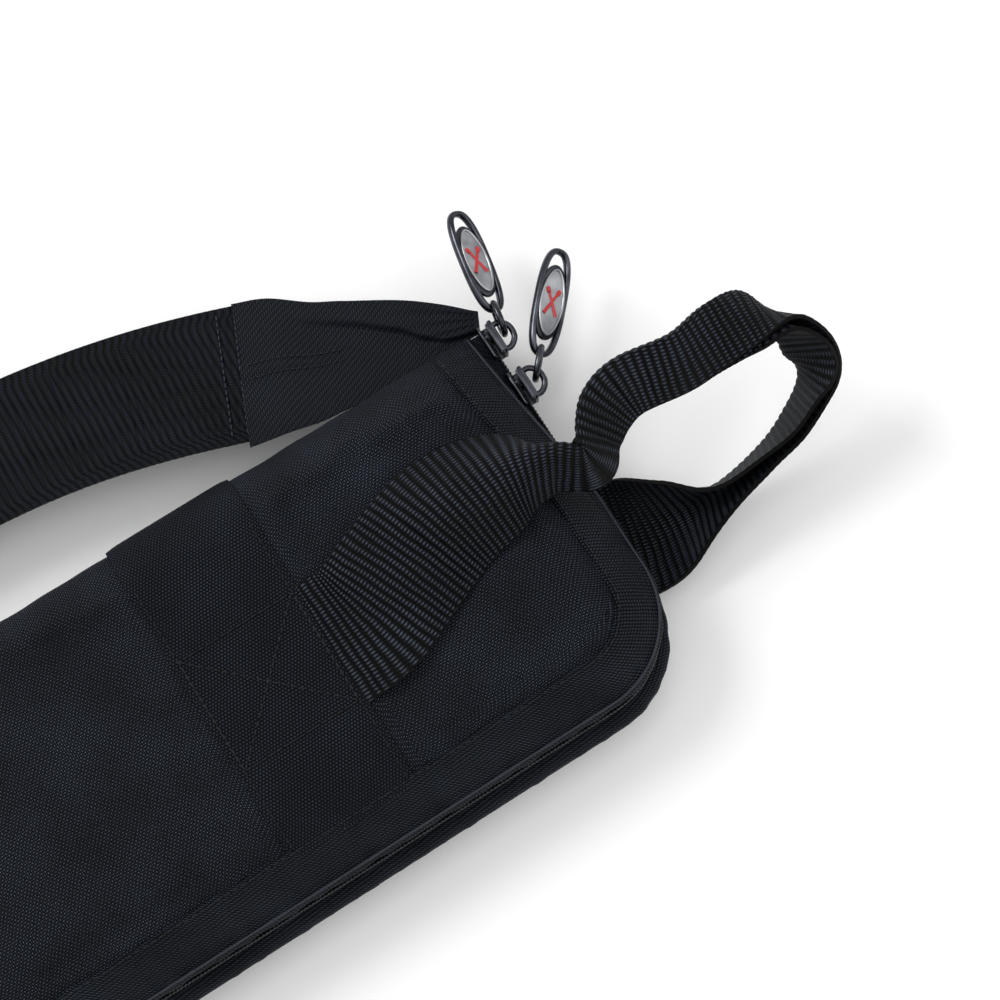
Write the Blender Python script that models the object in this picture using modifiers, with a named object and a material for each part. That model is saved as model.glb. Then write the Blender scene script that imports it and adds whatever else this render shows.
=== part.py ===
"""Drum stick bag: a padded clamshell case with a two-slider zip, a grab handle at one end
and a carry strap along its spine.

Metres, +Z up. The bag lies on its back: the origin is the middle of the flat back face,
+X runs along the bag to the end with the grab handle, +Y points to the spine.
"""

import math

import bmesh
import bpy
from mathutils import Vector

MM = 0.001

# Overall sizes of the padded body, without straps and zip.
HALF_LENGTH = 229 * MM
SPINE_Y = 72 * MM
OPENING_Y = -69 * MM
BACK_DEPTH = 28 * MM
FRONT_DEPTH = 25 * MM
FRONT_CROWN = 4 * MM

# The rounded edge of each half, and the corners seen from above.
EDGE_RUN = 26 * MM
EDGE_POWER = 2.4
EDGE_STEPS = 4
BOUND_STEPS = 2
SPINE_CORNER = 8 * MM
OPENING_CORNER = 36 * MM

# Layers, from outside to inside.
FIT = 0.3 * MM
LAYER_GAP = 0.8 * MM
COVER_THICK = 1.2 * MM
FOAM_THICK = 3.4 * MM
LINING_THICK = 0.8 * MM

# The zip, the binding beside it and the hinge line of the spine.
HINGE_GAP = 0.5 * MM
ZIP_GAP = 0.6 * MM
ZIP_RIM = 7 * MM
TAPE_THICK = 0.8 * MM
BINDING_THICK = 1.8 * MM
COIL_RADIUS = 1.0 * MM
COIL_SPACING = 1.55 * MM

# Webbing.
WEBBING_WIDTH = 50 * MM
WEBBING_THICK = 1.6 * MM
BAND_START = 70.5 * MM
BACK_STRAP_Y = -8 * MM
STRAP_MARGIN = 1 * MM
GRIP_WIDTH = 25 * MM
GRIP_THICK = 4.5 * MM

# Carry strap beside the spine.
CARRY_THICK = 2.0 * MM
CARRY_INSET = 83 * MM
CARRY_END_OUT = 32 * MM
CARRY_MIDDLE_OUT = 53 * MM
TAIL_THICK = 1.2 * MM
TAIL_NARROW = 14 * MM
TAIL_WIDE = 42 * MM
TAIL_INSET = 17 * MM
TAIL_OUT = 12 * MM

# Pockets.
POCKET_THICK = 1.2 * MM
STICK_POCKET_START = -196 * MM
STICK_POCKET_MOUTH = 60 * MM
STICK_CHANNELS = 3
CHANNEL_WIDTH = 36 * MM
CHANNEL_FIRST_Y = -53 * MM
CHANNEL_HEIGHT = 12 * MM
ACCESSORY_START = -150 * MM
ACCESSORY_MOUTH = 40 * MM
ACCESSORY_SIDES = (-48 * MM, 52 * MM)
ACCESSORY_DROP = 8 * MM
HEM_WIDTH = 6 * MM
HEM_THICK = 2.2 * MM
SEAM_FLAT = 1.5 * MM
SEAM_RISE = 4.5 * MM

# Zip sliders, their rings and pullers.
SLIDER_LENGTH = 15 * MM
SLIDER_WIDTH = 11.6 * MM
SLIDER_PLATE = 1.8 * MM
SLIDER_NECK = 6 * MM
SLIDER_CLEAR = 0.4 * MM
BAIL_SPAN = 12.8 * MM
BAIL_WIDTH = 3 * MM
BAIL_BAR = 1.7 * MM
RING_WIRE = 1.1 * MM
RING_LENGTH = 12.5 * MM
RING_HALF_WIDTH = 5.2 * MM
RING_CLEAR = 1.2 * MM
PULLER_LENGTH = 42 * MM
PULLER_WIDTH = 14 * MM
PULLER_END_WIDTH = 9.4 * MM
PULLER_THICK = 2.8 * MM
PULLER_RIM = 2.3 * MM
BADGE_LENGTH = 21 * MM
BADGE_THICK = 2.0 * MM
EMBLEM_THICK = 0.3 * MM
SLIDER_PLACES = {"slider_1": (5 * MM, 79), "slider_2": (25.5 * MM, 47)}

# Worked out from the sizes above.
ZIP_Z = BACK_DEPTH
STRAP_LEAVES = HALF_LENGTH - EDGE_RUN / 2 - STRAP_MARGIN
CARRY_END_X = HALF_LENGTH - CARRY_INSET
CARRY_END_Y = SPINE_Y + CARRY_END_OUT
CARRY_MIDDLE_Y = SPINE_Y + CARRY_MIDDLE_OUT
TAIL_START_X = HALF_LENGTH - TAIL_INSET
TAIL_START_Y = SPINE_Y + TAIL_OUT
MIDDLE_Y = (SPINE_Y + OPENING_Y) / 2
HALF_WIDTH = (SPINE_Y - OPENING_Y) / 2
BAND_END = BAND_START + WEBBING_WIDTH
RECESS = WEBBING_THICK + FIT
STEP = FIT
HINGE_Y = SPINE_Y + FIT + BINDING_THICK + FIT
STRAP_SIDE = WEBBING_WIDTH / 2 + FIT
BACK = {"sign": -1, "depth": BACK_DEPTH, "crown": 0.0}
FRONT = {"sign": 1, "depth": FRONT_DEPTH, "crown": FRONT_CROWN}


def clear_scene():
    for thing in list(bpy.data.objects):
        bpy.data.objects.remove(thing, do_unlink=True)


def new_collection(name):
    group = bpy.data.collections.new(name)
    bpy.context.scene.collection.children.link(group)
    return group


def make_material(name, colour, roughness, metallic=0.0):
    surface = bpy.data.materials.new(name)
    surface.use_nodes = True
    shader = surface.node_tree.nodes["Principled BSDF"]
    shader.inputs["Base Color"].default_value = (*colour, 1)
    shader.inputs["Roughness"].default_value = roughness
    shader.inputs["Metallic"].default_value = metallic
    return surface


def add_object(name, data, surface, group=None):
    piece = bpy.data.objects.new(name, data)
    (group or PARTS).objects.link(piece)
    if surface:
        data.materials.append(surface)
    return piece


def smoothstep(low, high, value):
    share = min(max((value - low) / (high - low), 0), 1)
    return share * share * (3 - 2 * share)


def mix(first, second, share):
    return first + (second - first) * share


# ---- the rounded form that both halves share

def edge_profile(angle):
    """Share of the edge's run still left, and share of its height reached, at an angle from the rim."""
    power = 2 / EDGE_POWER
    return 1 - math.cos(angle) ** power, max(math.sin(angle), 0) ** power


def edge_angles():
    return [math.pi / 2 * step / EDGE_STEPS for step in range(EDGE_STEPS + 1)]


def corner_start():
    return HALF_LENGTH - OPENING_CORNER


def lengthwise_rows(recessed):
    """Stations along X: a rounded end, flat stretch with the band's edges, and a rounded end."""
    edges = [BAND_START, BAND_END]
    if recessed:
        edges = [BAND_START - FIT - STEP, BAND_START - FIT, BAND_END + FIT, BAND_END + FIT + STEP]
    flat = edges + [corner_start()]
    rows = [("far", angle) for angle in edge_angles()]
    rows += [("flat", -x) for x in reversed(flat)]
    rows += [("flat", 0.0)]
    rows += [("flat", x) for x in flat]
    rows += [("near", angle) for angle in reversed(edge_angles())]
    return rows


def crosswise_columns(recessed):
    """Stations across Y: the spine's rounded edge, the flat part and the opening side's edge."""
    flat = [MIDDLE_Y]
    if recessed:
        flat = [
            BACK_STRAP_Y + STRAP_SIDE + STEP,
            BACK_STRAP_Y + STRAP_SIDE,
            BACK_STRAP_Y - STRAP_SIDE,
            BACK_STRAP_Y - STRAP_SIDE - STEP,
        ]
    columns = [("spine", angle) for angle in edge_angles()]
    columns += [("flat", y) for y in flat]
    columns += [("opening", angle) for angle in reversed(edge_angles())]
    return columns


def row_place(row, lift):
    """X of a station, and the share of the depth that the end's rounding leaves there."""
    zone, value = row
    if zone == "flat":
        return value, 1.0
    run, rise = edge_profile(value)
    x = HALF_LENGTH + lift - (EDGE_RUN + lift) * run
    return (x if zone == "near" else -x), rise


def side_limits(x, lift):
    """Y of the spine side and of the opening side at a station, with the rounded corners."""
    limits = []
    for side, radius in ((SPINE_Y + lift, SPINE_CORNER), (OPENING_Y - lift, OPENING_CORNER)):
        over = min(max(abs(x) - (HALF_LENGTH - radius), 0), radius + lift)
        inward = radius + lift - math.sqrt((radius + lift) ** 2 - over**2)
        limits.append(side - math.copysign(inward, side))
    return limits


def column_place(column, x, lift, flat_ys):
    """Y of a column at a station, and the share of the depth that the side's rounding leaves."""
    spine, opening = side_limits(x, lift)
    zone, value = column
    run = EDGE_RUN + lift
    if zone == "flat":
        high, low = spine - run, opening + run
        if low < min(flat_ys) and max(flat_ys) < high:
            return value, 1.0
        share = (value - OPENING_Y - EDGE_RUN) / (SPINE_Y - OPENING_Y - 2 * EDGE_RUN)
        return mix(low, high, share), 1.0
    inward, rise = edge_profile(value)
    if zone == "spine":
        return spine - run * inward, rise
    return opening + run * inward, rise


def rim_height(x, y):
    """Distance of a half's rim from the zip plane: wide along the zip, almost none at the spine."""
    near_spine = smoothstep(SPINE_Y - EDGE_RUN, SPINE_Y - LINING_THICK - 6 * MM, y)
    along_spine = 1 - smoothstep(HALF_LENGTH - EDGE_RUN, HALF_LENGTH - EDGE_RUN / 2, abs(x))
    return mix(ZIP_RIM, HINGE_GAP, near_spine * along_spine)


def crown_at(half, x, y):
    across = max(1 - ((y - MIDDLE_Y) / HALF_WIDTH) ** 2, 0)
    along = max(1 - (x / HALF_LENGTH) ** 2, 0)
    return half["crown"] * across * along


def in_recess(x, y):
    """Whether a point of the back lies under a band or under the back strap."""
    band = BAND_START - FIT - STEP / 2 < abs(x) < BAND_END + FIT + STEP / 2
    lengthwise = BAND_END < x < HALF_LENGTH - EDGE_RUN / 2
    strap = lengthwise and abs(y - BACK_STRAP_Y) < STRAP_SIDE + STEP / 2
    return band or strap


def form_point(half, row, column, lift, flat_ys):
    """A point of a half's surface, moved outward by the lift."""
    x, end_share = row_place(row, lift)
    y, side_share = column_place(column, x, lift, flat_ys)
    rim = rim_height(x, y)
    height = rim + (half["depth"] + lift - rim) * end_share * side_share
    height += crown_at(half, x, y)
    z = ZIP_Z + half["sign"] * height
    if half is BACK and in_recess(x, y):
        z = max(z, RECESS - lift)
    return Vector((x, y, z))


def flat_height(half, x, y, lift):
    """Z of a half's broad face at a place inside its rounded edges."""
    return ZIP_Z + half["sign"] * (half["depth"] + lift + crown_at(half, x, y))


# ---- sheets: a grid of points given a thickness

def grid_shape(points, keep=None):
    """A grid moved to its points; cells that aren't kept are left out. Gives it with each vertex's cell."""
    rows, columns = len(points), len(points[0])
    shape = bmesh.new()
    bmesh.ops.create_grid(shape, x_segments=rows - 1, y_segments=columns - 1, size=1)
    place = {}
    for vert in shape.verts:
        row = round((vert.co.x + 1) / 2 * (rows - 1))
        column = round((vert.co.y + 1) / 2 * (columns - 1))
        place[vert] = (row, column)
    if keep:
        dropped = []
        for face in shape.faces:
            cell = [min(place[vert][axis] for vert in face.verts) for axis in (0, 1)]
            if not keep(*cell):
                dropped.append(face)
        bmesh.ops.delete(shape, geom=dropped, context="FACES")
        place = {vert: cell for vert, cell in place.items() if vert.is_valid}
    for vert, (row, column) in place.items():
        vert.co = points[row][column]
    return shape, place


def finish_shape(name, shape, surface):
    mesh = bpy.data.meshes.new(name)
    shape.to_mesh(mesh)
    shape.free()
    mesh.shade_smooth()
    mesh.set_sharp_from_angle(angle=math.radians(40))
    return add_object(name, mesh, surface)


def sheet(name, points, surface, thickness):
    """A solid sheet over a grid of points, with half its thickness on each side."""
    shape, _ = grid_shape(points)
    piece = finish_shape(name, shape, surface)
    shell = piece.modifiers.new("thickness", "SOLIDIFY")
    shell.thickness = thickness
    shell.offset = 0
    shell.use_even_offset = True
    shell.use_quality_normals = True
    return piece


def wall(name, outer, inner, surface, keep=None):
    """A solid wall between two grids of points, an outer face and an inner one."""
    shape, place = grid_shape(outer, keep)
    border = [edge for edge in shape.edges if edge.is_boundary]
    outer_faces = list(shape.faces)
    pairs = {vert: shape.verts.new(inner[row][column]) for vert, (row, column) in place.items()}
    for edge in border:
        first, last = [loop.vert for loop in edge.link_loops[0].face.loops if loop.vert in edge.verts]
        if edge.link_loops[0].vert is not first:
            first, last = last, first
        shape.faces.new((last, first, pairs[first], pairs[last]))
    for face in outer_faces:
        shape.faces.new([pairs[vert] for vert in reversed(face.verts)])
    bmesh.ops.recalc_face_normals(shape, faces=shape.faces)
    if shape.calc_volume(signed=True) < 0:
        bmesh.ops.reverse_faces(shape, faces=shape.faces)
    return finish_shape(name, shape, surface)


def form_grid(half, lift, rows, columns):
    flat_ys = [value for zone, value in columns if zone == "flat"]
    return [[form_point(half, row, column, lift, flat_ys) for column in columns] for row in rows]


def make_layer(name, half, depth, thickness, surface):
    """One layer of a half's wall: its outer face lies that depth below the cover's."""
    recessed = half is BACK
    rows, columns = lengthwise_rows(recessed), crosswise_columns(recessed)
    outer = form_grid(half, -depth, rows, columns)
    inner = form_grid(half, -depth - thickness, rows, columns)
    return wall(name, outer, inner, surface)


def make_binding(name, half, surface):
    """Binding tape over the two ends' and the opening side's edges of a half."""
    recessed = half is BACK
    rows, columns = lengthwise_rows(recessed), crosswise_columns(recessed)
    last_row, last_column = len(rows) - 1, len(columns) - 1

    def keep(row, column):
        at_end = row < BOUND_STEPS or row >= last_row - BOUND_STEPS
        return at_end or column >= last_column - BOUND_STEPS

    outer = form_grid(half, FIT + BINDING_THICK, rows, columns)
    inner = form_grid(half, 2 * FIT, rows, columns)
    return wall(name, outer, inner, surface, keep)


def make_band(name, half, direction, surface):
    """Webbing band across a half, from the spine to the binding."""
    columns = crosswise_columns(half is BACK)[:-BOUND_STEPS]
    rows = [("flat", direction * BAND_START), ("flat", direction * BAND_END)]
    faces = []
    for lift in (FIT + WEBBING_THICK, FIT):
        points = form_grid(half, lift, rows, columns)
        for row in points:
            row[-1] = row[-2] + (row[-1] - row[-2]) * 0.9
        faces.append(points)
    return wall(name, *faces, surface)


# ---- the zip

def zip_path(lift):
    """The zip line from the spine's corner at the handle end, round to the other one."""
    x, y, radius = HALF_LENGTH + lift, OPENING_Y - lift, OPENING_CORNER + lift
    corner = Vector((x - radius, y + radius, 0))
    path = [Vector((x, HINGE_Y - 2 * FIT, 0)), Vector((x, MIDDLE_Y, 0))]
    for step in range(7):
        angle = math.pi / 2 * step / 6
        path.append(corner + radius * Vector((math.cos(angle), -math.sin(angle), 0)))
    path.append(Vector((0, y, 0)))
    path += [Vector((-point.x, point.y, 0)) for point in reversed(path[:-1])]
    return path


def make_zip_tape(name, half, surface):
    low = ZIP_Z + half["sign"] * ZIP_GAP
    high = ZIP_Z + half["sign"] * (ZIP_RIM - ZIP_GAP)
    faces = []
    for lift in (FIT + TAPE_THICK, FIT):
        faces.append([[point + Vector((0, 0, z)) for z in (low, high)] for point in zip_path(lift)])
    return wall(name, *faces, surface)


def make_tube(name, points, radius, surface, closed=False):
    line = bpy.data.curves.new(name, "CURVE")
    line.dimensions = "3D"
    spline = line.splines.new("POLY")
    spline.points.add(len(points) - 1)
    for node, point in zip(spline.points, points):
        node.co = (*point, 1)
    spline.use_cyclic_u = closed
    line.bevel_depth = radius
    line.bevel_resolution = 1
    line.use_fill_caps = not closed
    return add_object(name, line, surface)


def make_zip_coil(name, half, surface):
    height = Vector((0, 0, ZIP_Z + half["sign"] * COIL_SPACING))
    path = [point + height for point in zip_path(-COIL_RADIUS - FIT)]
    return make_tube(name, path, COIL_RADIUS, surface)


# ---- webbing and straps

def ribbon(name, stations, surface, thickness):
    """A strap through stations of (middle, across direction, width)."""
    points = []
    for middle, across, width in stations:
        side = Vector(across).normalized() * width / 2
        points.append([Vector(middle) - side, Vector(middle), Vector(middle) + side])
    return sheet(name, points, surface, thickness)


def make_front_strap(surface):
    """Lies on the front from the band to the end, then lifts off towards the grip."""
    half_thick = WEBBING_THICK / 2
    start, leaves = BAND_END + 2 * FIT, HALF_LENGTH - EDGE_RUN
    points = []
    for step in range(5):
        x = mix(start, leaves, step / 4)
        row = []
        for y in (-WEBBING_WIDTH / 2, 0, WEBBING_WIDTH / 2):
            row.append(Vector((x, y, flat_height(FRONT, x, y, FIT) + half_thick)))
        points.append(row)
    top = flat_height(FRONT, leaves, 0, FIT) + half_thick
    for forward, up in ((10 * MM, 3 * MM), (19 * MM, 6 * MM)):
        row = [Vector((leaves + forward, y, top + up)) for y in (-WEBBING_WIDTH / 2, 0, WEBBING_WIDTH / 2)]
        points.append(row)
    return sheet("front_handle_strap", points, surface, WEBBING_THICK)


def make_back_strap(surface):
    """Flush in the back from the band to the end, then rises and narrows towards the grip."""
    flat = WEBBING_THICK / 2
    stations = [
        ((BAND_END + 2 * FIT, BACK_STRAP_Y, flat), (0, 1, 0), WEBBING_WIDTH),
        ((STRAP_LEAVES - 30 * MM, BACK_STRAP_Y, flat), (0, 1, 0), WEBBING_WIDTH),
        ((STRAP_LEAVES, BACK_STRAP_Y, flat), (0, 1, 0), WEBBING_WIDTH),
        ((HALF_LENGTH, BACK_STRAP_Y - 4 * MM, 2.2 * MM), (0, 1, 0), 0.9 * WEBBING_WIDTH),
        ((HALF_LENGTH + 17 * MM, BACK_STRAP_Y - 8 * MM, 6 * MM), (0, 1, 0), 0.8 * WEBBING_WIDTH),
        ((HALF_LENGTH + 33 * MM, BACK_STRAP_Y - 12 * MM, 10 * MM), (0, 1, 0.1), 0.6 * WEBBING_WIDTH),
    ]
    return ribbon("back_handle_strap", stations, surface, WEBBING_THICK)


def make_grip(surface):
    """The webbing folded in half along its length: a loop out past the end and back low down."""
    end = HALF_LENGTH - EDGE_RUN + 19 * MM
    top = flat_height(FRONT, HALF_LENGTH - EDGE_RUN, 0, FIT) + WEBBING_THICK / 2 + 6 * MM
    route = [
        ((end + 3 * MM, 1 * MM, top + 1 * MM), (0, 1, 0)),
        ((end + 12 * MM, 8 * MM, top + 5 * MM), (-0.5, 1, 0)),
        ((end + 28 * MM, 18 * MM, top + 8 * MM), (-0.1, 1, 0.3)),
        ((end + 50 * MM, 17 * MM, top + 7 * MM), (0, 1, 0.5)),
        ((end + 69 * MM, 15 * MM, top + 4 * MM), (0, 1, 0.8)),
        ((end + 86 * MM, 10 * MM, top - 3 * MM), (0.3, 0.6, 0.8)),
        ((end + 96 * MM, 2 * MM, top - 13 * MM), (0.4, 0.2, 1)),
        ((end + 98 * MM, -6 * MM, top - 23 * MM), (0.2, 0, 1)),
        ((end + 92 * MM, -13 * MM, top - 32 * MM), (0, -0.3, 1)),
        ((end + 80 * MM, -18 * MM, top - 40 * MM), (0, -0.5, 0.8)),
        ((end + 66 * MM, -21 * MM, top - 45 * MM), (0, -0.8, 0.5)),
        ((end + 47 * MM, -22 * MM, top - 50 * MM), (0, -1, 0.1)),
    ]
    stations = [(middle, across, GRIP_WIDTH) for middle, across in route]
    return ribbon("handle_grip", stations, surface, GRIP_THICK)


def carry_curve(share):
    """Middle line of the carry webbing, a shallow arc from one end (-1) to the other (1)."""
    y = mix(CARRY_MIDDLE_Y, CARRY_END_Y, share**2)
    slope = 2 * share * (CARRY_END_Y - CARRY_MIDDLE_Y) / CARRY_END_X
    return (share * CARRY_END_X, y, ZIP_Z), (-slope, 1, 0)


def make_carry_webbing(surface):
    stations = []
    for step in range(13):
        middle, across = carry_curve(step / 6 - 1)
        stations.append((middle, across, WEBBING_WIDTH))
    return ribbon("carry_webbing", stations, surface, CARRY_THICK)


def make_tail_strip(name, direction, surface):
    """The closed zip's tail, from the spine's corner to the carry webbing's end."""
    (end_x, end_y, _), across = carry_curve(1)
    gap = Vector((1, across[0] * -1, 0)).normalized() * 3 * FIT
    start = Vector((TAIL_START_X, TAIL_START_Y, ZIP_Z))
    end = Vector((end_x, end_y, ZIP_Z)) + gap
    stations = []
    for step in range(6):
        share = step / 5
        bow = math.sin(share * math.pi) * 3 * MM
        middle = start.lerp(end, share) + Vector((0, bow, 0))
        sideways = Vector((0.62, 1, 0)).lerp(Vector(across), smoothstep(0, 1, share))
        middle.x *= direction
        sideways.x *= direction
        stations.append((middle, sideways, mix(TAIL_NARROW, TAIL_WIDE, smoothstep(0, 1, share))))
    return ribbon(name, stations, surface, TAIL_THICK)


# ---- pockets inside

def channel_profile(edges, foot, rise):
    """Points across a pocket whose channels are sewn down at the edges."""
    profile = []
    for first, last in zip(edges, edges[1:]):
        for y, share in (
            (first + SEAM_FLAT, 0),
            (first + SEAM_FLAT + SEAM_RISE, 1),
            (last - SEAM_FLAT - SEAM_RISE, 1),
            (last - SEAM_FLAT, 0),
        ):
            profile.append((y, foot(y) + rise * share))
    return profile


def pocket_sheet(name, profile, start, end, surface, thickness):
    points = [[Vector((x, y, z)) for y, z in profile] for x in (start, end)]
    return sheet(name, points, surface, thickness)


def wall_depth():
    return COVER_THICK + FOAM_THICK + LINING_THICK + 2 * LAYER_GAP


def make_stick_pocket(surface, hem_surface):
    edges = [CHANNEL_FIRST_Y + CHANNEL_WIDTH * count for count in range(STICK_CHANNELS + 1)]
    clear = RECESS + wall_depth() + HEM_THICK / 2 + 4 * FIT
    profile = channel_profile(edges, lambda y: clear, CHANNEL_HEIGHT)
    pocket_sheet("stick_pocket", profile, STICK_POCKET_START, STICK_POCKET_MOUTH, surface, POCKET_THICK)
    hem_start = STICK_POCKET_MOUTH + FIT
    pocket_sheet("stick_pocket_binding", profile, hem_start, hem_start + HEM_WIDTH, hem_surface, HEM_THICK)


def make_accessory_pocket(surface, hem_surface):
    depth = wall_depth() + HEM_THICK / 2 + 4 * FIT

    def foot(y):
        return flat_height(FRONT, ACCESSORY_START, y, -depth)

    profile = channel_profile(list(ACCESSORY_SIDES), foot, -ACCESSORY_DROP)
    pocket_sheet("accessory_pocket", profile, ACCESSORY_START, ACCESSORY_MOUTH, surface, POCKET_THICK)
    hem_start = ACCESSORY_MOUTH + FIT
    hem_end = hem_start + HEM_WIDTH
    pocket_sheet("accessory_pocket_elastic", profile, hem_start, hem_end, hem_surface, HEM_THICK)


# ---- sliders, rings and pullers

def make_box(name, low, high, surface=None, group=None):
    low, high = Vector(low), Vector(high)
    shape = bmesh.new()
    bmesh.ops.create_cube(shape, size=1)
    for vert in shape.verts:
        vert.co = Vector(mix(low[axis], high[axis], vert.co[axis] + 0.5) for axis in range(3))
    mesh = bpy.data.meshes.new(name)
    shape.to_mesh(mesh)
    shape.free()
    return add_object(name, mesh, surface, group)


def join_box(piece, low, high):
    """Adds a box to a piece with a Boolean union."""
    block = make_box(piece.name + "_block", low, high, group=CUTTERS)
    block.hide_render = True
    block.display_type = "WIRE"
    union = piece.modifiers.new("union", "BOOLEAN")
    union.operation = "UNION"
    union.object = block


def slider_faces():
    """X of the slider's faces: inner plate, outer plate and the bail's bar."""
    tape_out = HALF_LENGTH + FIT + TAPE_THICK
    coil_in = HALF_LENGTH - FIT - 2 * COIL_RADIUS
    inner = (coil_in - SLIDER_CLEAR - SLIDER_PLATE, coil_in - SLIDER_CLEAR)
    outer = (tape_out + SLIDER_CLEAR, tape_out + SLIDER_CLEAR + SLIDER_PLATE)
    bar = outer[1] + 2 * RING_CLEAR + 2 * RING_WIRE
    return inner, outer, (bar, bar + BAIL_BAR)


def make_slider(name, y, surface):
    inner, outer, bar = slider_faces()
    half, wide, neck = SLIDER_LENGTH / 2, SLIDER_WIDTH / 2, ZIP_GAP / 2
    low, high = (outer[0], y - half, ZIP_Z - wide), (outer[1], y + half, ZIP_Z + wide)
    body = make_box(name + "_body", low, high, surface)
    join_box(body, (inner[0], y - half, ZIP_Z - wide), (inner[1], y + half, ZIP_Z + wide))
    overlap = SLIDER_PLATE / 2
    join_box(
        body,
        (inner[1] - overlap, y - SLIDER_NECK / 2, ZIP_Z - neck),
        (outer[0] + overlap, y + SLIDER_NECK / 2, ZIP_Z + neck),
    )
    for side in (-1, 1):
        leg = [y + side * (BAIL_SPAN / 2 - BAIL_BAR), y + side * BAIL_SPAN / 2]
        join_box(
            body,
            (outer[1] - overlap, min(leg), ZIP_Z - BAIL_WIDTH / 2),
            (bar[0] + BAIL_BAR / 2, max(leg), ZIP_Z + BAIL_WIDTH / 2),
        )
    join_box(
        body,
        (bar[0], y - BAIL_SPAN / 2, ZIP_Z - BAIL_WIDTH / 2),
        (bar[1], y + BAIL_SPAN / 2, ZIP_Z + BAIL_WIDTH / 2),
    )
    return body


def make_pivot(name, place, turned=0.0):
    pivot = bpy.data.objects.new(name, None)
    PARTS.objects.link(pivot)
    pivot.location = place
    pivot.rotation_euler = (0, 0, turned)
    return pivot


def make_ring(name, surface):
    """An oval link in the plane of its pivot's X and Z, from the bail to the puller."""
    corner = RING_HALF_WIDTH * 0.6
    points = []
    for middle_x, middle_z, first in (
        (RING_LENGTH - corner, RING_HALF_WIDTH - corner, 0),
        (corner, RING_HALF_WIDTH - corner, 90),
        (corner, corner - RING_HALF_WIDTH, 180),
        (RING_LENGTH - corner, corner - RING_HALF_WIDTH, 270),
    ):
        for step in range(4):
            angle = math.radians(first + 30 * step)
            points.append(
                Vector((middle_x + corner * math.cos(angle), 0, middle_z + corner * math.sin(angle)))
            )
    return make_tube(name, points, RING_WIRE, surface, closed=True)


def puller_outline(inset):
    """Long outline: narrow rounded ends and a wider middle, moved in by the inset."""
    count = 32
    points = []
    for step in range(count):
        angle = 2 * math.pi * step / count
        along = math.copysign(abs(math.cos(angle)) ** 0.75, math.cos(angle))
        waist = PULLER_END_WIDTH + (PULLER_WIDTH - PULLER_END_WIDTH) * (1 - along**2)
        across = math.copysign(abs(math.sin(angle)) ** 0.75, math.sin(angle))
        points.append((along * (PULLER_LENGTH / 2 - inset), across * (waist / 2 - inset)))
    return points


def oval(middle, length, width, count=16):
    turn = 2 * math.pi / count
    return [
        (middle + length / 2 * math.cos(turn * step), width / 2 * math.sin(turn * step))
        for step in range(count)
    ]


def flat_plate(name, outlines, thickness, surface):
    """A plate cut to its first outline, with the other outlines as holes."""
    line = bpy.data.curves.new(name, "CURVE")
    line.dimensions = "2D"
    line.fill_mode = "BOTH"
    line.extrude = thickness / 2
    for outline in outlines:
        spline = line.splines.new("POLY")
        spline.points.add(len(outline) - 1)
        for node, (x, y) in zip(spline.points, outline):
            node.co = (x, y, 0, 1)
        spline.use_cyclic_u = True
    return add_object(name, line, surface)


def make_puller(name, surfaces):
    """Frame with a window at each end, a badge let into its middle and an emblem on the badge."""
    window = (PULLER_LENGTH - BADGE_LENGTH) / 2 - 2 * PULLER_RIM
    window_middle = PULLER_LENGTH / 2 - PULLER_RIM - window / 2
    window_wide = PULLER_END_WIDTH - PULLER_RIM
    badge_wide = PULLER_WIDTH - 2 * PULLER_RIM
    frame = flat_plate(
        name + "_frame",
        [
            puller_outline(0),
            oval(-window_middle, window, window_wide, 12),
            oval(window_middle, window, window_wide, 12),
            oval(0, BADGE_LENGTH, badge_wide, 20),
        ],
        PULLER_THICK,
        surfaces["metal"],
    )
    badge = flat_plate(
        name + "_badge",
        [oval(0, BADGE_LENGTH - 2 * FIT, badge_wide - 2 * FIT, 20)],
        BADGE_THICK,
        surfaces["badge"],
    )
    arm, stroke = 3.2 * MM, 0.55 * MM
    cross = []
    for quarter in range(4):
        turned = math.radians(45 + 90 * quarter)
        for along, across in ((arm, -stroke), (arm, stroke), (stroke, stroke)):
            x = along * math.cos(turned) - across * math.sin(turned)
            y = along * math.sin(turned) + across * math.cos(turned)
            cross.append((x * 1.3, y * 0.8))
    emblem = flat_plate(name + "_emblem", [cross], EMBLEM_THICK, surfaces["emblem"])
    emblem.location.z = BADGE_THICK / 2 + FIT / 2 + EMBLEM_THICK / 2
    return [frame, badge, emblem]


def make_slider_set(name, y, heading, surfaces):
    outer = slider_faces()[1]
    make_slider(name, y, surfaces["metal"])
    number = name[-1]
    swing_x = outer[1] + RING_CLEAR + RING_WIRE
    ring_pivot = make_pivot(name + "_ring_pivot", (swing_x, y, ZIP_Z), math.radians(heading))
    ring = make_ring("link_ring_" + number, surfaces["metal"])
    ring.parent = ring_pivot
    puller_pivot = make_pivot(name + "_puller_pivot", (RING_LENGTH, 0, 0))
    puller_pivot.parent = ring_pivot
    first = PULLER_RIM + RING_WIRE + FIT
    for piece in make_puller("puller_" + number, surfaces):
        piece.location.x = PULLER_LENGTH / 2 - first
        piece.parent = puller_pivot


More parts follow.
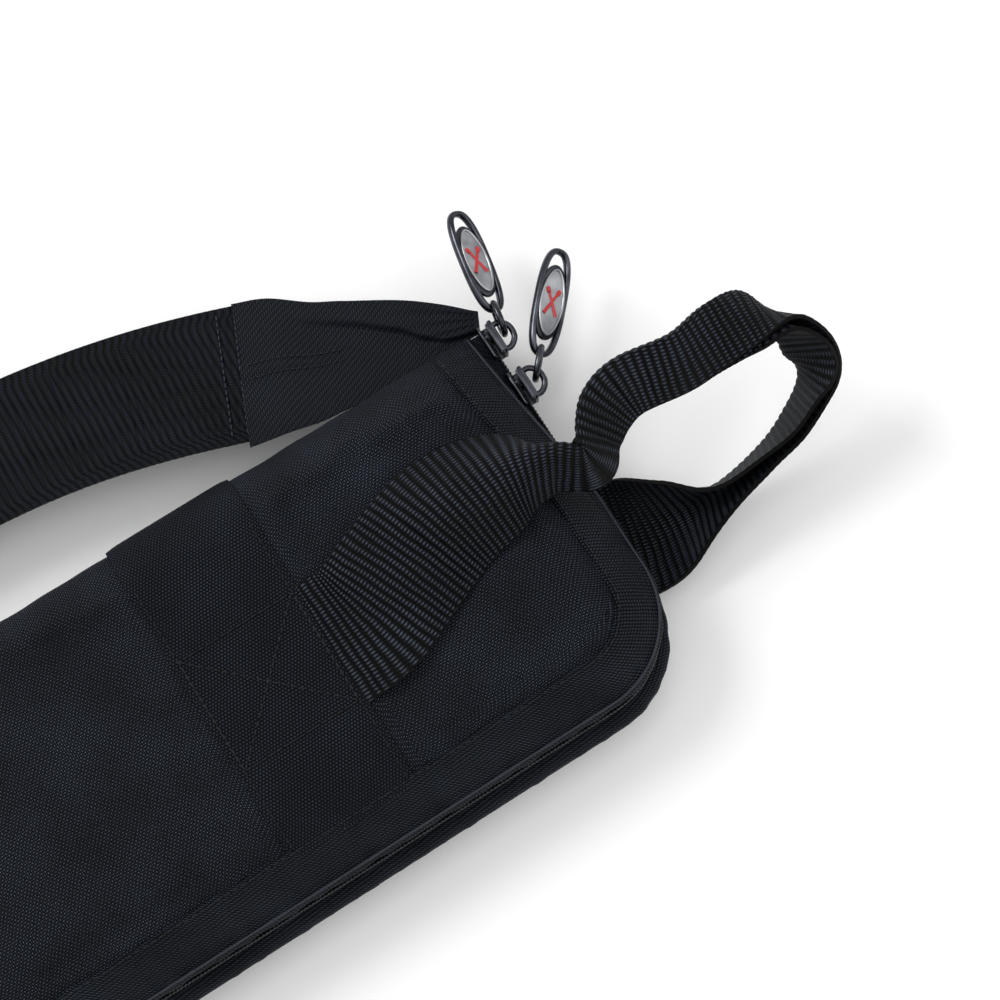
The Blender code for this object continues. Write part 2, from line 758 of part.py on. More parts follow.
def build():
    cover = make_material("cover_polyester", (0.012, 0.014, 0.020), 0.85)
    foam = make_material("pad_foam", (0.10, 0.10, 0.11), 0.95)
    lining = make_material("lining_nylon", (0.03, 0.032, 0.038), 0.7)
    binding = make_material("binding_tape", (0.014, 0.016, 0.022), 0.8)
    webbing = make_material("webbing", (0.020, 0.023, 0.031), 0.7)
    tape = make_material("zip_tape", (0.009, 0.012, 0.018), 0.75)
    coil = make_material("zip_coil", (0.012, 0.013, 0.016), 0.45)
    elastic = make_material("elastic", (0.02, 0.02, 0.02), 0.8)
    metal = {
        "metal": make_material("gunmetal", (0.12, 0.12, 0.13), 0.3, 1.0),
        "badge": make_material("satin_badge", (0.35, 0.36, 0.38), 0.35, 1.0),
        "emblem": make_material("emblem_enamel", (0.45, 0.02, 0.03), 0.4),
    }
    for side, half in (("back", BACK), ("front", FRONT)):
        foam_depth = COVER_THICK + LAYER_GAP
        lining_depth = foam_depth + FOAM_THICK + LAYER_GAP
        make_layer(side + "_cover", half, 0, COVER_THICK, cover)
        make_layer(side + "_foam", half, foam_depth, FOAM_THICK, foam)
        make_layer(side + "_lining", half, lining_depth, LINING_THICK, lining)
        make_binding(side + "_binding", half, binding)
        make_band(side + "_band_handle_end", half, 1, webbing)
        make_band(side + "_band_far_end", half, -1, webbing)
        make_zip_tape(side + "_zip_tape", half, tape)
        make_zip_coil(side + "_zip_coil", half, coil)
    make_front_strap(webbing)
    make_back_strap(webbing)
    make_grip(webbing)
    make_carry_webbing(webbing)
    make_tail_strip("tail_strip_handle_end", 1, tape)
    make_tail_strip("tail_strip_far_end", -1, tape)
    make_stick_pocket(lining, binding)
    make_accessory_pocket(lining, elastic)
    for name, (below_spine, heading) in SLIDER_PLACES.items():
        make_slider_set(name, SPINE_Y - below_spine, heading, metal)


clear_scene()
PARTS = new_collection("drum_stick_bag")
CUTTERS = new_collection("cutters")
build()
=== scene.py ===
import math

import bmesh
import bpy
import numpy as np
from mathutils import Matrix, Vector


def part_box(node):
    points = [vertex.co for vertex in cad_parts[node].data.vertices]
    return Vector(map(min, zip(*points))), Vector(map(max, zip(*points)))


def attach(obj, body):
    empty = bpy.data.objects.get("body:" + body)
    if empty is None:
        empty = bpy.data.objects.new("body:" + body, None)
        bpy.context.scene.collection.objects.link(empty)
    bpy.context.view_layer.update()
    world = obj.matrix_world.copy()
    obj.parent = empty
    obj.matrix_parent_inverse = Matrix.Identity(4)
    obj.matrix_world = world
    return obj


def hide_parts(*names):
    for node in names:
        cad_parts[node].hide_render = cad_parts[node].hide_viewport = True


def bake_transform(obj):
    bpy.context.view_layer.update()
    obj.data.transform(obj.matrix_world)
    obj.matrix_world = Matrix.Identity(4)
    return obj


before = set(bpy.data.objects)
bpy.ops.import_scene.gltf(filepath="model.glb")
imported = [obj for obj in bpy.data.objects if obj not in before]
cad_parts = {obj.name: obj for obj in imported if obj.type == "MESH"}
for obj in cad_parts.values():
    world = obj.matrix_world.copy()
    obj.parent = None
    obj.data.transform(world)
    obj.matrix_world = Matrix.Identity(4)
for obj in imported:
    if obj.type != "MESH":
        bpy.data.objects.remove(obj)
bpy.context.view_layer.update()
mm = 0.001


def boxOf(name):
    low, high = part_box(name)
    return np.array(low) / mm, np.array(high) / mm


# everything below is worked out in millimetres

def linear(hexText):
    # sRGB hex to the linear colour that shaders want
    parts = [int(hexText[i:i + 2], 16) / 255 for i in (0, 2, 4)]
    return tuple(p / 12.92 if p <= 0.04045 else ((p + 0.055) / 1.055) ** 2.4 for p in parts) + (1.0,)


def smooth(low, high, value):
    t = np.clip((value - low) / (high - low), 0, 1)
    return t * t * (3 - 2 * t)


def unit(vectors):
    return vectors / np.maximum(np.linalg.norm(vectors, axis=-1, keepdims=True), 1e-9)


def resample(line, count):
    # the same line with evenly spaced points
    steps = np.linalg.norm(np.diff(line, axis=0), axis=1)
    along = np.concatenate([[0], np.cumsum(steps)])
    at = np.linspace(0, along[-1], count)
    return np.stack([np.interp(at, along, line[:, k]) for k in range(line.shape[1])], axis=1)


def curveThrough(points, count):
    # Catmull-Rom curve through given points, then evened out
    p = np.array(points, float)
    p = np.vstack([2 * p[0] - p[1], p, 2 * p[-1] - p[-2]])
    out = []
    for i in range(1, len(p) - 2):
        for t in np.linspace(0, 1, 16, endpoint=False):
            a, b, c, d = p[i - 1], p[i], p[i + 1], p[i + 2]
            out.append(0.5 * ((2 * b) + (c - a) * t + (2 * a - 5 * b + 4 * c - d) * t * t
                              + (3 * b - a - 3 * c + d) * t ** 3))
    out.append(p[-2])
    return resample(np.array(out), count)


def gridNormals(grid, closed=False):
    if closed:
        across = np.roll(grid, -1, 1) - np.roll(grid, 1, 1)
    else:
        across = np.gradient(grid, axis=1)
    along = np.gradient(grid, axis=0)
    return unit(np.cross(along, across))


def gridUv(grid, middleRow=None, middleColumn=None):
    # cloth coordinates in mm, measured over the surface from one row and one column
    rows, columns = grid.shape[:2]
    r = rows // 2 if middleRow is None else middleRow
    c = columns // 2 if middleColumn is None else middleColumn
    u = np.zeros((rows, columns))
    v = np.zeros((rows, columns))
    u[1:] = np.cumsum(np.linalg.norm(np.diff(grid, axis=0), axis=2), axis=0)
    v[:, 1:] = np.cumsum(np.linalg.norm(np.diff(grid, axis=1), axis=2), axis=1)
    u -= u[r:r + 1]
    v -= v[:, c:c + 1]
    return np.stack([u, v], axis=2)


def gridPiece(name, grid, material, uv=None, thickness=0.0, inward=None, closed=False):
    # a sheet over a grid of points; thickness adds an inner face and closes the edges
    rows, columns = grid.shape[:2]
    if uv is None:
        uv = gridUv(grid)
    wrap = columns if closed else columns - 1
    index = np.arange(rows * columns).reshape(rows, columns)
    faces, corners = [], []
    for i in range(rows - 1):
        for j in range(wrap):
            k = (j + 1) % columns
            cell = [(i, j), (i + 1, j), (i + 1, k), (i, k)]
            faces.append([index[a] for a in cell])
            corners.append([(uv[a][0], uv[a][1] if not (closed and a[1] == 0 and j > 0) else
                             uv[i, columns - 1][1] + (uv[i, 1][1] - uv[i, 0][1])) for a in cell])
    points = grid.reshape(-1, 3)
    if thickness:
        normals = gridNormals(grid, closed) if inward is None else inward
        inner = (grid - normals * thickness).reshape(-1, 3)
        total = len(points)
        points = np.vstack([points, inner])
        backFaces = [[v + total for v in reversed(f)] for f in faces]
        backCorners = [list(reversed(c)) for c in corners]
        edges = [(index[0, j], index[0, j + 1]) for j in range(columns - 1)]
        edges += [(index[-1, j + 1], index[-1, j]) for j in range(columns - 1)]
        edges += [(index[i + 1, 0], index[i, 0]) for i in range(rows - 1)]
        edges += [(index[i, -1], index[i + 1, -1]) for i in range(rows - 1)]
        flat = uv.reshape(-1, 2)
        faces = faces + backFaces
        corners = corners + backCorners
        for a, b in edges:
            faces.append([a, b, b + total, a + total])
            corners.append([flat[a], flat[b], flat[b], flat[a]])
    mesh = bpy.data.meshes.new(name)
    mesh.from_pydata((points * mm).tolist(), [], [[int(v) for v in f] for f in faces])
    layer = mesh.uv_layers.new(name="weave")
    layer.data.foreach_set("uv", np.array(corners, float).reshape(-1))
    mesh.materials.append(material)
    mesh.shade_smooth()
    mesh.update()
    shape = bmesh.new()
    shape.from_mesh(mesh)
    if thickness and shape.calc_volume(signed=True) < 0:
        bmesh.ops.reverse_faces(shape, faces=shape.faces)
    shape.to_mesh(mesh)
    shape.free()
    mesh.set_sharp_from_angle(angle=math.radians(50))
    piece = bpy.data.objects.new(name, mesh)
    bpy.context.scene.collection.objects.link(piece)
    return piece


def sweepPiece(name, line, section, material, turn=None, closedLine=False):
    # a closed outline carried along a line, the outline given sideways and upwards
    line = np.array(line, float)
    tangent = unit(np.gradient(line, axis=0))
    if closedLine:
        tangent = unit(np.roll(line, -1, 0) - np.roll(line, 1, 0))
    up = np.array([0, 0, 1.0]) if turn is None else turn
    up = np.broadcast_to(up, line.shape)
    side = unit(np.cross(up, tangent))
    top = np.cross(tangent, side)
    section = np.broadcast_to(section, (len(line),) + np.shape(section)[-2:])
    grid = line[:, None] + side[:, None] * section[:, :, :1] + top[:, None] * section[:, :, 1:]
    if closedLine:
        grid = np.concatenate([grid, grid[:1]])
    uv = gridUv(grid, 0, 0)
    piece = gridPiece(name, grid, material, uv, closed=True)
    shape = bmesh.new()
    shape.from_mesh(piece.data)
    if closedLine:
        bmesh.ops.remove_doubles(shape, verts=shape.verts, dist=1e-6)
    else:
        bmesh.ops.holes_fill(shape, edges=[e for e in shape.edges if e.is_boundary])
    bmesh.ops.recalc_face_normals(shape, faces=shape.faces)
    shape.to_mesh(piece.data)
    shape.free()
    return piece


def circle(radius, count=12, squash=1.0):
    a = np.linspace(0, 2 * math.pi, count, endpoint=False)
    return np.stack([radius * np.cos(a), radius * squash * np.sin(a)], axis=1)


# materials

def newMaterial(name):
    made = bpy.data.materials.new(name)
    made.use_nodes = True
    return made, made.node_tree, made.node_tree.nodes["Principled BSDF"]


def addNode(tree, kind, settings=None, inputs=None):
    # inputs by name, or a list of them in order; a node given as an input stands for its first output
    made = tree.nodes.new("ShaderNode" + kind)
    for key, value in (settings or {}).items():
        setattr(made, key, value)
    pairs = enumerate(inputs) if isinstance(inputs, list) else (inputs or {}).items()
    for key, value in pairs:
        source = value.outputs[0] if hasattr(value, "outputs") else value
        if hasattr(source, "is_output"):
            tree.links.new(source, made.inputs[key])
        else:
            made.inputs[key].default_value = source
    return made


# what every woven cloth shares: how far threads wander, and how much fibre, knots and dye show; what the
# knots add to the colour is painted highlight on the raised threads, with painted shade between them
weave = {"wanderScale": 0.09, "wander": 0.8, "knotPower": 0.7, "fibreScale": 3.1, "fibreShare": 0.7,
         "peakHighlightShare": 0.75, "parityShare": 0.18, "blotchScale": 0.035, "blotchShare": 0.25,
         "midAt": 0.45, "lightAt": 0.85, "fibreHeight": 0.25, "fibreRough": 0.2}


def weaveMaterial(name, look):
    # plain or ribbed cloth drawn from its own thread spacing, in mm of cloth
    made, tree, shader = newMaterial(name)
    place = addNode(tree, "UVMap", {"uv_map": "weave"}).outputs[0]
    split = addNode(tree, "SeparateXYZ", inputs=[place])
    u, v = split.outputs[0], split.outputs[1]
    along, across = look["alongPitch"], look["acrossPitch"]
    flat = {"noise_dimensions": "2D"}
    wander = addNode(tree, "TexNoise", flat, {"Vector": place, "Scale": weave["wanderScale"], "Detail": 2.0})
    centred = addNode(tree, "Math", {"operation": "SUBTRACT"}, [wander, 0.5])
    shift = addNode(tree, "Math", {"operation": "MULTIPLY"}, [centred, weave["wander"]])
    uu = addNode(tree, "Math", {"operation": "ADD"}, [u, shift])
    vv = addNode(tree, "Math", {"operation": "ADD"}, [v, shift])
    if look.get("slant"):
        vv = addNode(tree, "Math", {"operation": "MULTIPLY_ADD"}, [uu, look["slant"], vv])
    turnU = addNode(tree, "Math", {"operation": "MULTIPLY"}, [uu, math.pi / along])
    waveU = addNode(tree, "Math", {"operation": "SINE"}, [turnU])
    if look["kind"] == "ribbed":
        # each rib is a row of ovals, half a step on from the next rib's
        ratio = addNode(tree, "Math", {"operation": "DIVIDE"}, [uu, along])
        row = addNode(tree, "Math", {"operation": "FLOOR"}, [ratio])
        odd = addNode(tree, "Math", {"operation": "PINGPONG"}, [row, 1.0])
        step = addNode(tree, "Math", {"operation": "MULTIPLY"}, [odd, across * look.get("stagger", 0.5)])
        vv = addNode(tree, "Math", {"operation": "ADD"}, [vv, step])
    turnV = addNode(tree, "Math", {"operation": "MULTIPLY"}, [vv, math.pi / across])
    waveV = addNode(tree, "Math", {"operation": "SINE"}, [turnV])
    if look["kind"] == "plain":
        product = addNode(tree, "Math", {"operation": "MULTIPLY"}, [waveU, waveV])
        size = addNode(tree, "Math", {"operation": "ABSOLUTE"}, [product])
        knots = addNode(tree, "Math", {"operation": "POWER"}, [size, weave["knotPower"]])
        side = addNode(tree, "Math", {"operation": "SIGN"}, [product])
        parity = addNode(tree, "Math", {"operation": "MULTIPLY_ADD"}, [side, 0.5, 0.5])
    else:
        ribSize = addNode(tree, "Math", {"operation": "ABSOLUTE"}, [waveU])
        floatSize = addNode(tree, "Math", {"operation": "ABSOLUTE"}, [waveV])
        rib = addNode(tree, "Math", {"operation": "POWER"}, [ribSize, look.get("ribPower", 0.6)])
        floats = addNode(tree, "Math", {"operation": "POWER"}, [floatSize, look.get("floatPower", 0.5)])
        knots = addNode(tree, "Math", {"operation": "MULTIPLY"}, [rib, floats])
        if look.get("selvedge"):
            # no floats show on the narrow woven edge
            reach = addNode(tree, "Math", {"operation": "ABSOLUTE"}, [v])
            inside = addNode(tree, "Math", {"operation": "LESS_THAN"}, [reach, look["selvedge"]])
            knots = addNode(tree, "Math", {"operation": "MULTIPLY"}, [knots, inside])
        parity = knots
    fibre = addNode(tree, "TexNoise", flat, {"Vector": place, "Scale": weave["fibreScale"], "Detail": 3.0})
    blotch = addNode(tree, "TexNoise", flat, {"Vector": place, "Scale": weave["blotchScale"], "Detail": 3.0})
    # raised crossings and floats are painted lighter, a painted highlight on the weave's tops, and the dips
    # between them darker as painted shade
    lit = addNode(tree, "Math", {"operation": "MULTIPLY"}, [knots, weave["peakHighlightShare"]])
    lit = addNode(tree, "Math", {"operation": "MULTIPLY_ADD"}, [fibre, weave["fibreShare"], lit])
    lit = addNode(tree, "Math", {"operation": "MULTIPLY_ADD"}, [parity, weave["parityShare"], lit])
    lit = addNode(tree, "Math", {"operation": "SUBTRACT"}, [lit, look.get("floor", 0.42)])
    dye = addNode(tree, "Math", {"operation": "SUBTRACT"}, [blotch, 0.5])
    lit = addNode(tree, "Math", {"operation": "MULTIPLY_ADD"}, [dye, weave["blotchShare"], lit])
    ramp = addNode(tree, "ValToRGB", inputs=[lit])
    ramp.color_ramp.elements[0].position = 0.0
    ramp.color_ramp.elements[0].color = linear(look["dark"])
    ramp.color_ramp.elements[1].position = weave["lightAt"]
    ramp.color_ramp.elements[1].color = linear(look["light"])
    middle = ramp.color_ramp.elements.new(weave["midAt"])
    middle.color = linear(look["mid"])
    tree.links.new(ramp.outputs[0], shader.inputs["Base Color"])
    rough = addNode(tree, "Math", {"operation": "MULTIPLY_ADD"},
                    [fibre, weave["fibreRough"], look["roughness"] - weave["fibreRough"] / 2])
    tree.links.new(rough.outputs[0], shader.inputs["Roughness"])
    shader.inputs["Sheen Weight"].default_value = look["sheen"]
    shader.inputs["Sheen Roughness"].default_value = 0.45
    shader.inputs["Sheen Tint"].default_value = linear("8e98b4")
    shader.inputs["Specular IOR Level"].default_value = look["gloss"]
    height = addNode(tree, "Math", {"operation": "MULTIPLY_ADD"}, [fibre, weave["fibreHeight"], knots])
    bump = addNode(tree, "Bump", inputs={"Height": height, "Strength": look.get("bump", 0.6),
                                         "Distance": look["depth"] * mm})
    tree.links.new(bump.outputs[0], shader.inputs["Normal"])
    return made


# 600 denier polyester in a plain weave: matt, cool blue-black, every crossing a small bright dot of painted
#                                        highlight
coverCloth = weaveMaterial("polyester600dPlainWeave", {
    "kind": "plain", "alongPitch": 0.75, "acrossPitch": 0.95, "depth": 0.22, "dark": "010102",
    "mid": "080a0f", "light": "4c5567", "roughness": 0.7, "sheen": 0.02, "gloss": 0.12, "floor": 0.53,
    "bump": 1.0})
# 50 mm polyester webbing: heavy ribs across it, each a row of glossy oval floats painted lighter as a
#                          highlight
ribWebbing = weaveMaterial("polyesterRibWebbing", {
    "kind": "ribbed", "alongPitch": 2.9, "acrossPitch": 1.35, "depth": 0.5, "dark": "000001", "mid": "080a0e",
    "light": "4b535f", "roughness": 0.6, "sheen": 0.01, "gloss": 0.12, "bump": 1.0, "floor": 0.6,
    "selvedge": 23.6})
# the band across the bag is the same width in a finer, flatter weave
bandWebbing = weaveMaterial("polyesterFlatWebbing", {
    "kind": "ribbed", "alongPitch": 1.1, "acrossPitch": 1.25, "depth": 0.3, "dark": "010102", "mid": "06080c",
    "light": "333a49", "roughness": 0.65, "sheen": 0.01, "gloss": 0.1, "stagger": 0.5, "floor": 0.55,
    "bump": 1.0})
# the carry strap's own webbing has plain fine ribs with hardly any floats
carryWebbingCloth = weaveMaterial("nylonFineRibWebbing", {
    "kind": "ribbed", "alongPitch": 3.0, "acrossPitch": 1.0, "depth": 0.6, "dark": "000101", "mid": "040608",
    "light": "161a22", "roughness": 0.6, "sheen": 0.01, "gloss": 0.1, "floor": 0.5,
    "floatPower": 0.15, "ribPower": 0.5})
# edge binding: a thick tape whose dots run obliquely over the folded edge
bindingCloth = weaveMaterial("polyesterBindingTape", {
    "kind": "ribbed", "alongPitch": 1.25, "acrossPitch": 1.3, "depth": 0.4, "dark": "000102", "mid": "06080c",
    "light": "3a4250", "roughness": 0.6, "sheen": 0.01, "gloss": 0.1, "floor": 0.55, "slant": 0.45,
    "bump": 0.9})
# zip tape: a close twill, smooth and slightly shiny
zipCloth = weaveMaterial("zipTapeTwill", {
    "kind": "ribbed", "alongPitch": 0.8, "acrossPitch": 2.4, "depth": 0.25, "dark": "010102", "mid": "04060b",
    "light": "1f2735", "roughness": 0.55, "sheen": 0.01, "slant": 0.6, "gloss": 0.14, "floor": 0.5,
    "bump": 0.9})

# the lining is a thin smooth nylon, a shade lighter than the cover and with finer threads
liningCloth = weaveMaterial("nylon210dLining", {
    "kind": "plain", "alongPitch": 0.45, "acrossPitch": 0.5, "depth": 0.08, "dark": "0a0b0e", "mid": "1b1d22",
    "light": "373a42", "roughness": 0.5, "sheen": 0.02, "gloss": 0.3, "bump": 0.4})
# knitted elastic in fine cords along its length
elasticCloth = weaveMaterial("knittedElastic", {
    "kind": "ribbed", "alongPitch": 0.9, "acrossPitch": 0.8, "depth": 0.25, "dark": "040405", "mid": "121316",
    "light": "2e3036", "roughness": 0.7, "sheen": 0.02, "gloss": 0.2})


def threadOf(name, tone, light):
    # sewing thread: two tones mixed finely, and a soft sheen
    made, tree, shader = newMaterial(name)
    place = addNode(tree, "TexCoord").outputs["Object"]
    ply = addNode(tree, "TexNoise", inputs={"Vector": place, "Scale": 1800.0, "Detail": 2.0}).outputs[0]
    ramp = addNode(tree, "ValToRGB", inputs={0: ply})
    ramp.color_ramp.elements[0].color = linear(tone)
    ramp.color_ramp.elements[1].color = linear(light)
    tree.links.new(ramp.outputs[0], shader.inputs["Base Color"])
    bump = addNode(tree, "Bump", inputs={"Height": ply, "Strength": 0.5, "Distance": 0.1 * mm})
    tree.links.new(bump.outputs[0], shader.inputs["Normal"])
    shader.inputs["Roughness"].default_value = 0.5
    shader.inputs["Sheen Weight"].default_value = 0.03
    shader.inputs["Specular IOR Level"].default_value = 0.25
    return made


threadMaterial = threadOf("polyesterThreadDark", "030406", "15181e")
zipThread = threadOf("polyesterThreadZip", "05070b", "1c212c")
# a lighter thread for the strap's stitches, also laid along the binding's fold as a painted highlight
strapThreadAndFoldHighlight = threadOf("polyesterThreadStrapAndFoldHighlight", "0c0e12", "343945")


def metalOf(name, look):
    # plated metal: fine brushing or casting grain, its tone drifting a little
    made, tree, shader = newMaterial(name)
    place = addNode(tree, "TexCoord").outputs["Object"]
    stretch = addNode(tree, "Mapping", inputs={"Vector": place, "Scale": look["stretch"]}).outputs[0]
    grain = addNode(tree, "TexNoise", inputs={"Vector": stretch, "Scale": look["scale"], "Detail": 4.0})
    cloud = addNode(tree, "TexNoise", inputs={"Vector": place, "Scale": 160.0, "Detail": 3.0}).outputs[0]
    ramp = addNode(tree, "ValToRGB", inputs={0: cloud})
    ramp.color_ramp.elements[0].position = 0.3
    ramp.color_ramp.elements[0].color = linear(look["dark"])
    ramp.color_ramp.elements[1].position = 0.7
    ramp.color_ramp.elements[1].color = linear(look["light"])
    tree.links.new(ramp.outputs[0], shader.inputs["Base Color"])
    rough = addNode(tree, "Math", {"operation": "MULTIPLY_ADD"},
                    [grain, look["roughSpread"], look["roughness"] - look["roughSpread"] / 2])
    tree.links.new(rough.outputs[0], shader.inputs["Roughness"])
    bump = addNode(tree, "Bump", inputs={"Height": grain, "Strength": 0.3, "Distance": look["depth"] * mm})
    tree.links.new(bump.outputs[0], shader.inputs["Normal"])
    shader.inputs["Metallic"].default_value = 1.0
    return made


# black nickel over cast zinc: dark, glossy, with crisp highlights
gunmetal = metalOf("blackNickel", {
    "dark": "34353a", "light": "55575e", "roughness": 0.24, "roughSpread": 0.12,
    "scale": 1400.0, "stretch": (1, 1, 1), "depth": 0.01})
# the badge rim is plain satin nickel and catches the light
satinMetal = metalOf("satinNickel", {
    "dark": "9a9ba0", "light": "b9babd", "roughness": 0.3, "roughSpread": 0.1,
    "scale": 1600.0, "stretch": (1, 1, 1), "depth": 0.01})
# the badge face is brushed and darker
badgeMetal = metalOf("brushedNickel", {
    "dark": "8d8f94", "light": "bcbdc1", "roughness": 0.42, "roughSpread": 0.16,
    "scale": 900.0, "stretch": (1, 6, 1), "depth": 0.02})


def cloudyColour(name, scale, dark, light, roughness):
    # one even finish whose colour drifts a little from place to place
    made, tree, shader = newMaterial(name)
    cloud = addNode(tree, "TexNoise", inputs={"Scale": scale, "Detail": 2.0})
    ramp = addNode(tree, "ValToRGB", inputs=[cloud])
    ramp.color_ramp.elements[0].color = linear(dark)
    ramp.color_ramp.elements[1].color = linear(light)
    tree.links.new(ramp.outputs[0], shader.inputs["Base Color"])
    shader.inputs["Roughness"].default_value = roughness
    return made


# glossy red enamel, the only bright colour on the bag
redEnamel = cloudyColour("redEnamel", 500.0, "a80f17", "cf1d22", 0.3)
redEnamel.node_tree.nodes["Principled BSDF"].inputs["Coat Weight"].default_value = 0.4
# smooth nylon monofilament, shinier than the cloth beside it
coilNylon = cloudyColour("zipCoilNylon", 700.0, "0c0d11", "1e2027", 0.32)
print("materials ready")

# the padded body

coverLow, coverHigh = boxOf("front_cover")
body = {
    "zipZ": float(boxOf("back_zip_tape")[1][2] + boxOf("front_zip_tape")[0][2]) / 2,
    "spineY": float(coverHigh[1]), "openY": float(coverLow[1]), "halfLong": float(coverHigh[0]) - 0.5,
    "cornerR": 36.0, "endSetBack": 7.5, "frontRise": 29.0, "backRise": 27.6, "restGap": 2.0,
    "frontRun": 46.0, "backRun": 38.0, "spineRun": 26.0, "spineTurn": 24, "leanOut": 7.5,
    "edgeShare": 0.27, "seamIn": 15.0, "step": 3.2}


def endAt(y):
    # the panel's ends draw in a little towards the spine
    return body["halfLong"] - body["endSetBack"] * smooth(-10, body["spineY"], y)


def edgeDistance(x, y):
    # how far inside the zip edge a place is, round the two rounded corners
    r = body["cornerR"]
    a = np.abs(x) - (endAt(y) - r)
    b = (body["openY"] + r) - y
    corner = r - np.hypot(np.maximum(a, 0), np.maximum(b, 0))
    straight = r - np.maximum(a, b)
    return np.where((a > 0) & (b > 0), corner, straight)


def spineShare(y):
    t = np.clip((body["spineY"] - y) / body["spineRun"], 0, 1)
    return (1 - (1 - t) ** 2.4) ** (1 / 2.4)


def restLift(x, y):
    # the cover is held off the table where bands and the handle strap run under it
    bands = smooth(64, 70, np.abs(x)) * (1 - smooth(121, 127, np.abs(x)))
    strap = smooth(115, 121, x) * (1 - smooth(25, 31, np.abs(y + 8)))
    return body["restGap"] * np.maximum(bands, strap)


def padHeight(x, y, front):
    run = body["frontRun"] if front else body["backRun"]
    rise = body["frontRise"] if front else body["backRise"]
    d = np.clip(edgeDistance(x, y), 0, run) / run
    share = body["edgeShare"] + (1 - body["edgeShare"]) * (1 - (1 - d) ** 2.3)
    h = rise * share * spineShare(y)
    if front:
        h = h * (1 - 0.05 * (y / body["spineY"]) ** 2)
    return body["zipZ"] + h if front else body["zipZ"] - h + restLift(x, y) * share


def seamY(x, inset):
    # Y of the line that runs that far inside the opening edge, at a station
    r = body["cornerR"]
    over = np.clip(np.abs(x) - (body["halfLong"] - r), 0, r - inset)
    return body["openY"] + r - np.sqrt((r - inset) ** 2 - over ** 2)


def stationX(share, y, inset):
    # X of a station from -1 to 1: even in the middle, following the slanted end outside
    x = share * (body["halfLong"] - inset)
    keep = body["halfLong"] - body["cornerR"] - 20
    reach = endAt(y) - inset
    outside = keep + (np.abs(x) - keep) * (reach - keep) / (body["halfLong"] - inset - keep)
    return np.where(np.abs(x) > keep, np.sign(x) * outside, x)


def spineStops(first):
    # Y from the opening to the spine, closer together round the spine's turn
    start = body["spineY"] - body["spineTurn"]
    turned = body["spineTurn"] * np.cos(np.linspace(0, math.pi / 2, 40)[1:])
    return np.concatenate([np.linspace(first, start, 60), body["spineY"] - turned])


def coverSection(share, inset, count):
    # one line round the bag: front seam, over the top, round the spine, underneath, back seam
    first = float(seamY(share * (body["halfLong"] - inset), inset))
    ys = spineStops(first)
    halves = []
    for front in (True, False):
        xs = stationX(share, ys, inset)
        halves.append(np.stack([xs, ys, padHeight(xs, ys, front)], axis=1))
    line = np.vstack([halves[0], halves[1][::-1][1:]])
    return resample(line, count)


def coverGrid(shares, inset, count):
    return np.stack([coverSection(s, inset, count) for s in shares])


rowCount = int(2 * (body["halfLong"] - body["seamIn"]) / body["step"]) | 1


def bend(piece):
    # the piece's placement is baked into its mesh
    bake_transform(piece)


def leanOut(grid):
    # the back half's open edge stands out a little further than the front's
    out = grid.copy()
    out[..., 1] -= body["leanOut"] * smooth(34, 17, grid[..., 2]) * smooth(10, -62, grid[..., 1])
    return out


def relief(grid, amount, seed):
    # shallow slow unevenness of soft padding, even so at every rerun
    x, y = grid[..., 0], grid[..., 1]
    wave = (np.sin(x * 0.061 + seed) * np.sin(y * 0.083 + 2 * seed)
            + 0.6 * np.sin(x * 0.127 - y * 0.094 + seed)
            + 0.35 * np.sin(x * 0.31 + y * 0.22 + 3 * seed))
    return wave[..., None] * amount


puff = {"stepsX": 95, "stepsY": 31, "frames": 36, "slack": -0.045, "pressure": 0.35, "most": 2.2}


def puffField():
    # how far the front panel's cloth stands off its foam: a short cloth simulation, sewn down at
    # the binding, under both bands and where the handle is sewn on
    xs = np.linspace(-204, 204, puff["stepsX"])
    ys = np.linspace(-50, 56, puff["stepsY"])
    gx, gy = np.meshgrid(xs, ys, indexing="ij")
    grid = np.stack([gx, gy, padHeight(gx, gy, True)], axis=2)
    piece = gridPiece("puffTrial", grid, coverCloth)
    hold = piece.vertex_groups.new(name="sewn")
    held = (np.abs(np.abs(gx) - 95.5) < 27) | (np.abs(gx) > 200) | (gy < -47) | (gy > 53)
    hold.add([int(v) for v in np.flatnonzero(held.reshape(-1))], 1.0, "REPLACE")
    cloth = piece.modifiers.new("cloth", "CLOTH")
    cloth.settings.quality = 6
    cloth.settings.mass = 0.02
    cloth.settings.tension_stiffness = 12
    cloth.settings.compression_stiffness = 6
    cloth.settings.shear_stiffness = 3
    cloth.settings.bending_stiffness = 0.02
    cloth.settings.vertex_group_mass = "sewn"
    cloth.settings.shrink_min = puff["slack"]
    cloth.settings.use_pressure = True
    cloth.settings.uniform_pressure_force = puff["pressure"]
    cloth.collision_settings.use_collision = False
    cloth.point_cache.frame_start, cloth.point_cache.frame_end = 1, puff["frames"]
    for step in range(1, puff["frames"] + 1):
        bpy.context.scene.frame_set(step)
    made = piece.evaluated_get(bpy.context.evaluated_depsgraph_get())
    moved = np.array([v.co.z for v in made.data.vertices]).reshape(gx.shape) / mm
    bpy.context.scene.frame_set(1)
    bpy.data.objects.remove(piece)
    lift = np.clip(moved - grid[..., 2], -puff["most"], puff["most"])
    print("cloth stands off between", round(float(lift.min()), 2), "and", round(float(lift.max()), 2), "mm")
    return xs, ys, lift


def sampleField(field, x, y):
    xs, ys, values = field
    i = np.clip((x - xs[0]) / (xs[1] - xs[0]), 0, len(xs) - 1.001)
    j = np.clip((y - ys[0]) / (ys[1] - ys[0]), 0, len(ys) - 1.001)
    a, c = i.astype(int), j.astype(int)
    u, v = i - a, j - c
    return ((1 - u) * (1 - v) * values[a, c] + u * (1 - v) * values[a + 1, c]
            + (1 - u) * v * values[a, c + 1] + u * v * values[a + 1, c + 1])


